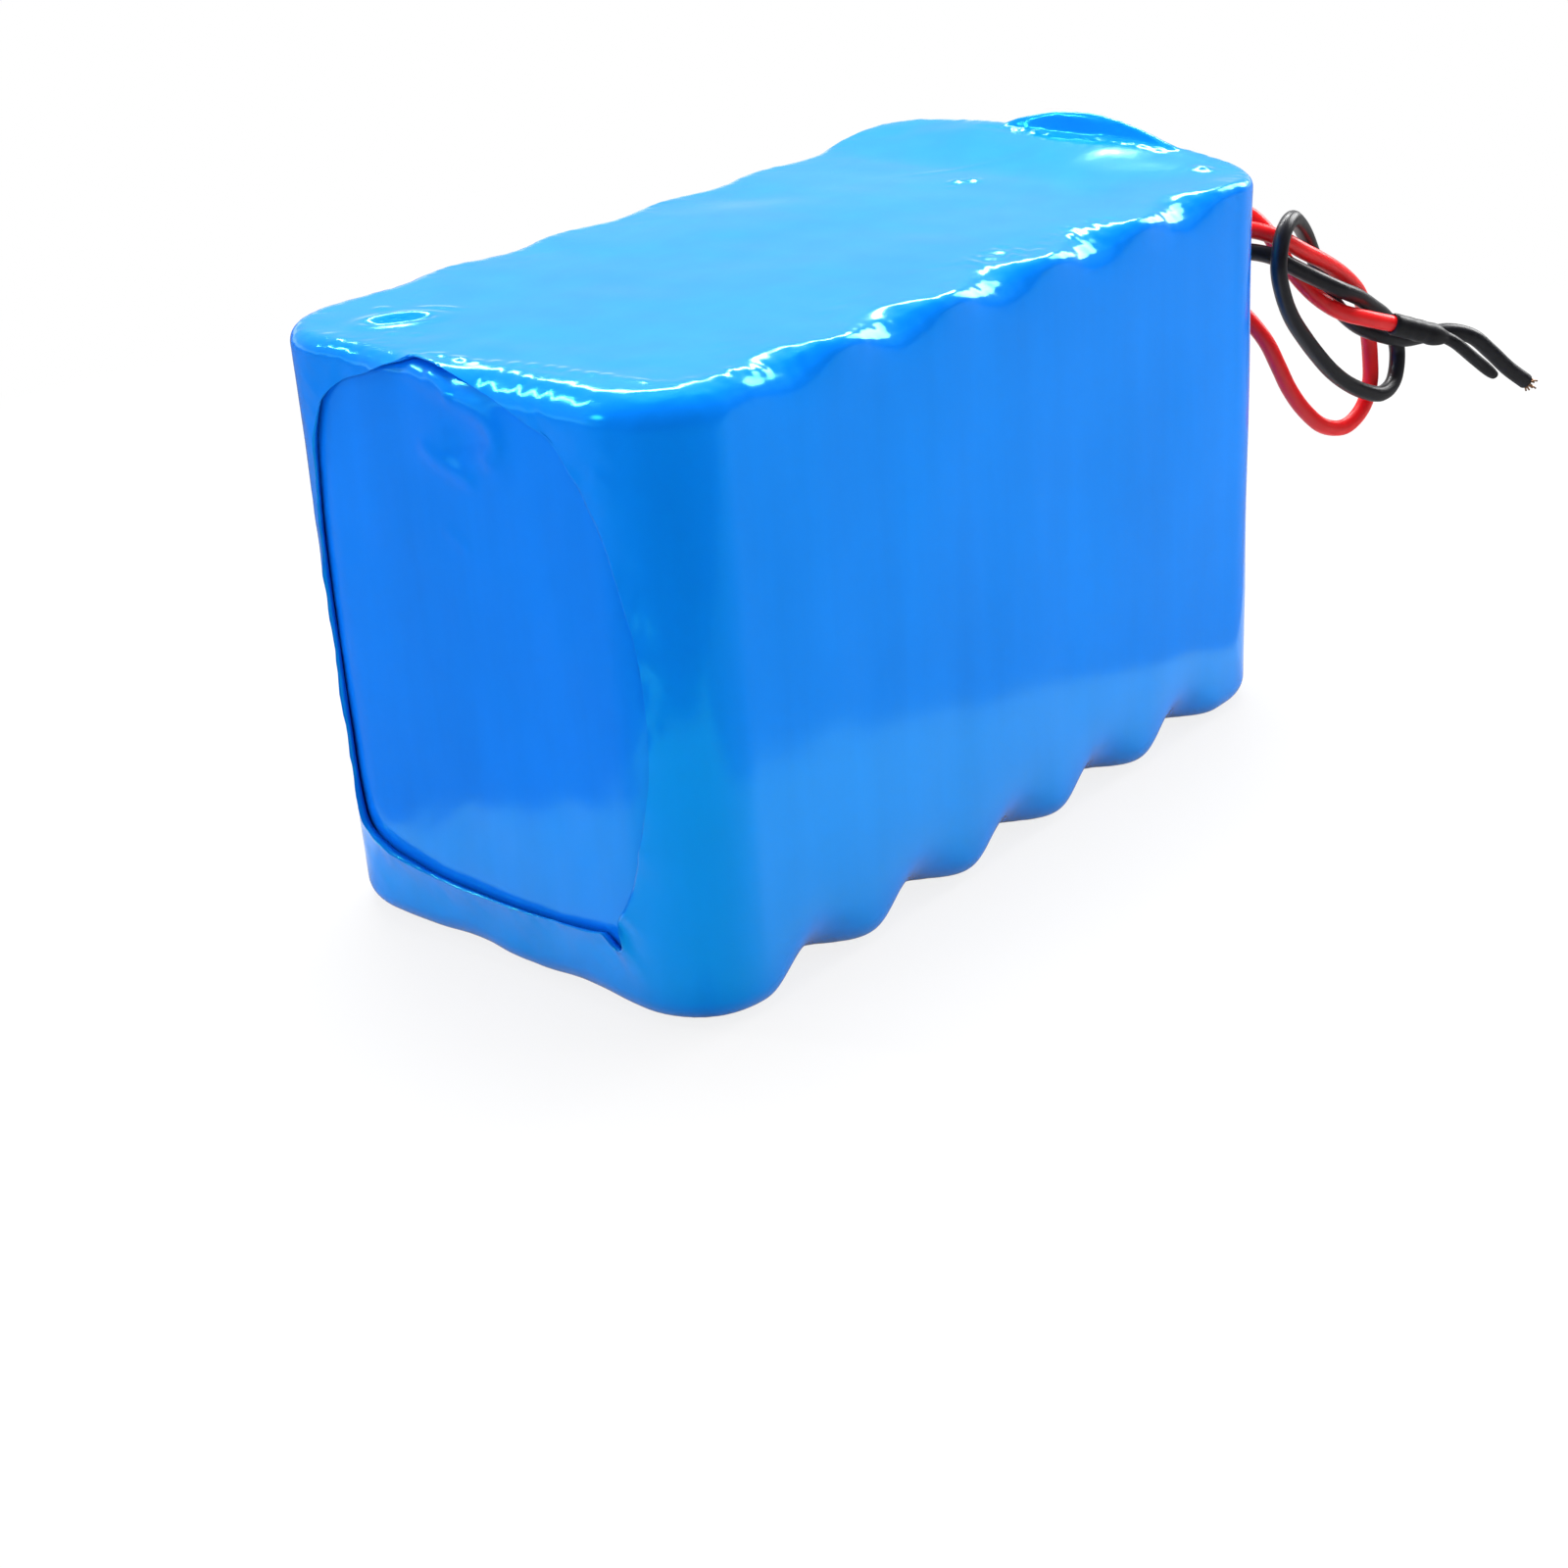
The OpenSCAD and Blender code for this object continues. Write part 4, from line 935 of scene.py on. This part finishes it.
def make_world():
    """White to the camera, the backdrop and the room in mirrored rays, and plain light in all others."""
    world = bpy.data.worlds.new("studio")
    bpy.context.scene.world = world
    world.use_nodes = True
    tree = world.node_tree
    path = add_node(tree, "ShaderNodeLightPath")
    way = add_node(tree, "ShaderNodeTexCoord").outputs["Generated"]
    back = ramp(tree, separate(tree, way)["Z"],
                [(BACKDROP_TOP, 1.0), (BACKDROP_TOP + BACKDROP_BLUR, ROOM_GREY), (1.0, ROOM_GREY)])
    behind = add_node(tree, "ShaderNodeVectorMath", operation="DOT_PRODUCT")
    behind.inputs[1].default_value = BACKDROP_WAY
    tree.links.new(way, behind.inputs[0])
    room = float_mix(tree, map_range(tree, behind.outputs["Value"], *BACKDROP_SIDES), FRONT_GREY, back)
    seen = float_mix(tree, mirrored(tree, path), AMBIENT, room)
    background = tree.nodes["Background"]
    background.inputs["Color"].default_value = (1, 1, 1, 1)
    tree.links.new(maximum(tree, seen, path.outputs["Is Camera Ray"]), background.inputs["Strength"])


def sheet_share(tree):
    """Share of white: 1 on the sheet, and each edge's own share past it."""
    shares = []
    for turn, far, past in SHEET_SIDES:
        across = separate(tree, object_coords(tree, turn=-math.radians(turn)))["Y"]
        shares.append(map_range(tree, across, (-far - SHEET_BLUR) * MM, -far * MM, past))
    total = shares[0]
    for share in shares[1:]:
        total = math_node(tree, "MINIMUM", total, share)
    return total


def painted_contact_shade(tree):
    """Share of white that mirrored rays see near the pack: under its edges it fades to dark grey, a painted
    shade that also holds the real shadow.
    """
    size = add_node(tree, "ShaderNodeVectorMath", operation="ABSOLUTE")
    tree.links.new(object_coords(tree), size.inputs[0])
    past = add_node(tree, "ShaderNodeVectorMath", operation="SUBTRACT")
    past.inputs[1].default_value = (HALF_L * MM, HALF_W * MM, 0)
    tree.links.new(size.outputs["Vector"], past.inputs[0])
    sides = separate(tree, past.outputs["Vector"])
    return map_range(tree, maximum(tree, sides["X"], sides["Y"]), -PAINTED_SHADE_REACH * MM, PAINTED_SHADE_REACH * MM)


def own_white(tree):
    """Share of its own white that the floor shows: less near the pack, where its shadow lies."""
    far = add_node(tree, "ShaderNodeVectorMath", operation="LENGTH")
    tree.links.new(object_coords(tree), far.inputs[0])
    return map_range(tree, far.outputs["Value"], FLOOR_NEAR * MM, FLOOR_FAR * MM, FLOOR_OWN_WHITE)


def make_floor():
    """A floor with the pack's shadow, white to the camera and, where the sheet lies, in mirrored rays."""
    corners = [(x * FLOOR_HALF, y * FLOOR_HALF, 0) for x, y in ((-1, -1), (1, -1), (1, 1), (-1, 1))]
    floor = new_mesh("floor", corners, [(0, 1, 2, 3)])
    mat, tree, shader = new_material("floor")
    path = add_node(tree, "ShaderNodeLightPath")
    in_mirror = mirrored(tree, path)
    tree.links.new(float_mix(tree, in_mirror, FLOOR_GREY, PAST_SHEET), shader.inputs["Base Color"])
    shader.inputs["Roughness"].default_value = 0.9
    shader.inputs["Specular IOR Level"].default_value = 0.1
    white = add_node(tree, "ShaderNodeEmission")
    # In mirrored rays the floor's white fades near the pack to painted shade over its real shadow
    in_film = product(tree, in_mirror, product(tree, sheet_share(tree), painted_contact_shade(tree)))
    seen_white = maximum(tree, path.outputs["Is Camera Ray"], in_film)
    mix = add_node(tree, "ShaderNodeMixShader")
    tree.links.new(product(tree, seen_white, own_white(tree)), mix.inputs["Fac"])
    tree.links.new(shader.outputs["BSDF"], mix.inputs[1])
    tree.links.new(white.outputs["Emission"], mix.inputs[2])
    tree.links.new(mix.outputs["Shader"], tree.nodes["Material Output"].inputs["Surface"])
    floor.data.materials.append(mat)


def area_light(name, place, size, power, aim=(0, 0, 36), mirrored_too=True):
    """A soft oval light that points at the pack, which the film mirrors or doesn't."""
    data = bpy.data.lights.new(name, "AREA")
    data.shape = "ELLIPSE"
    data.size, data.size_y = size[0] * MM, size[1] * MM
    data.energy = power
    light = bpy.data.objects.new(name, data)
    light.location = Vector(place) * MM
    light.rotation_euler = (Vector(aim) - Vector(place)).to_track_quat("-Z", "Y").to_euler()
    light.visible_glossy = mirrored_too
    bpy.context.scene.collection.objects.link(light)


def make_lights():
    area_light("above", (120, 110, 740), (480, 480), 9.0, mirrored_too=False)
    area_light("right", (560, -420, 330), (420, 420), 1.9, mirrored_too=False)
    area_light("left", (-640, 330, 300), (420, 420), 1.0, mirrored_too=False)
    area_light("left_box", (-600, 250, 330), (130, 130), 0.25, aim=(-57, 0, 62))
    area_light("corner_box", (300, 390, 505), (375, 90), 1.7, aim=(-50, -25, 70))
    area_light("edge_box", (385, 160, 365), (160, 80), 0.75, aim=(10, -30, 70))
    area_light("fan_box", (580, -95, 330), (280, 360), 2.2, aim=(10, -29, 70))
    area_light("strip_left", (-193, 283, 342), (16, 150), 0.4)


make_camera()
make_leads()
make_outer_film()
make_inner_film()
dress_cad_nodes()
make_world()
make_floor()
make_lights()
bpy.context.scene.view_settings.view_transform = "Standard"
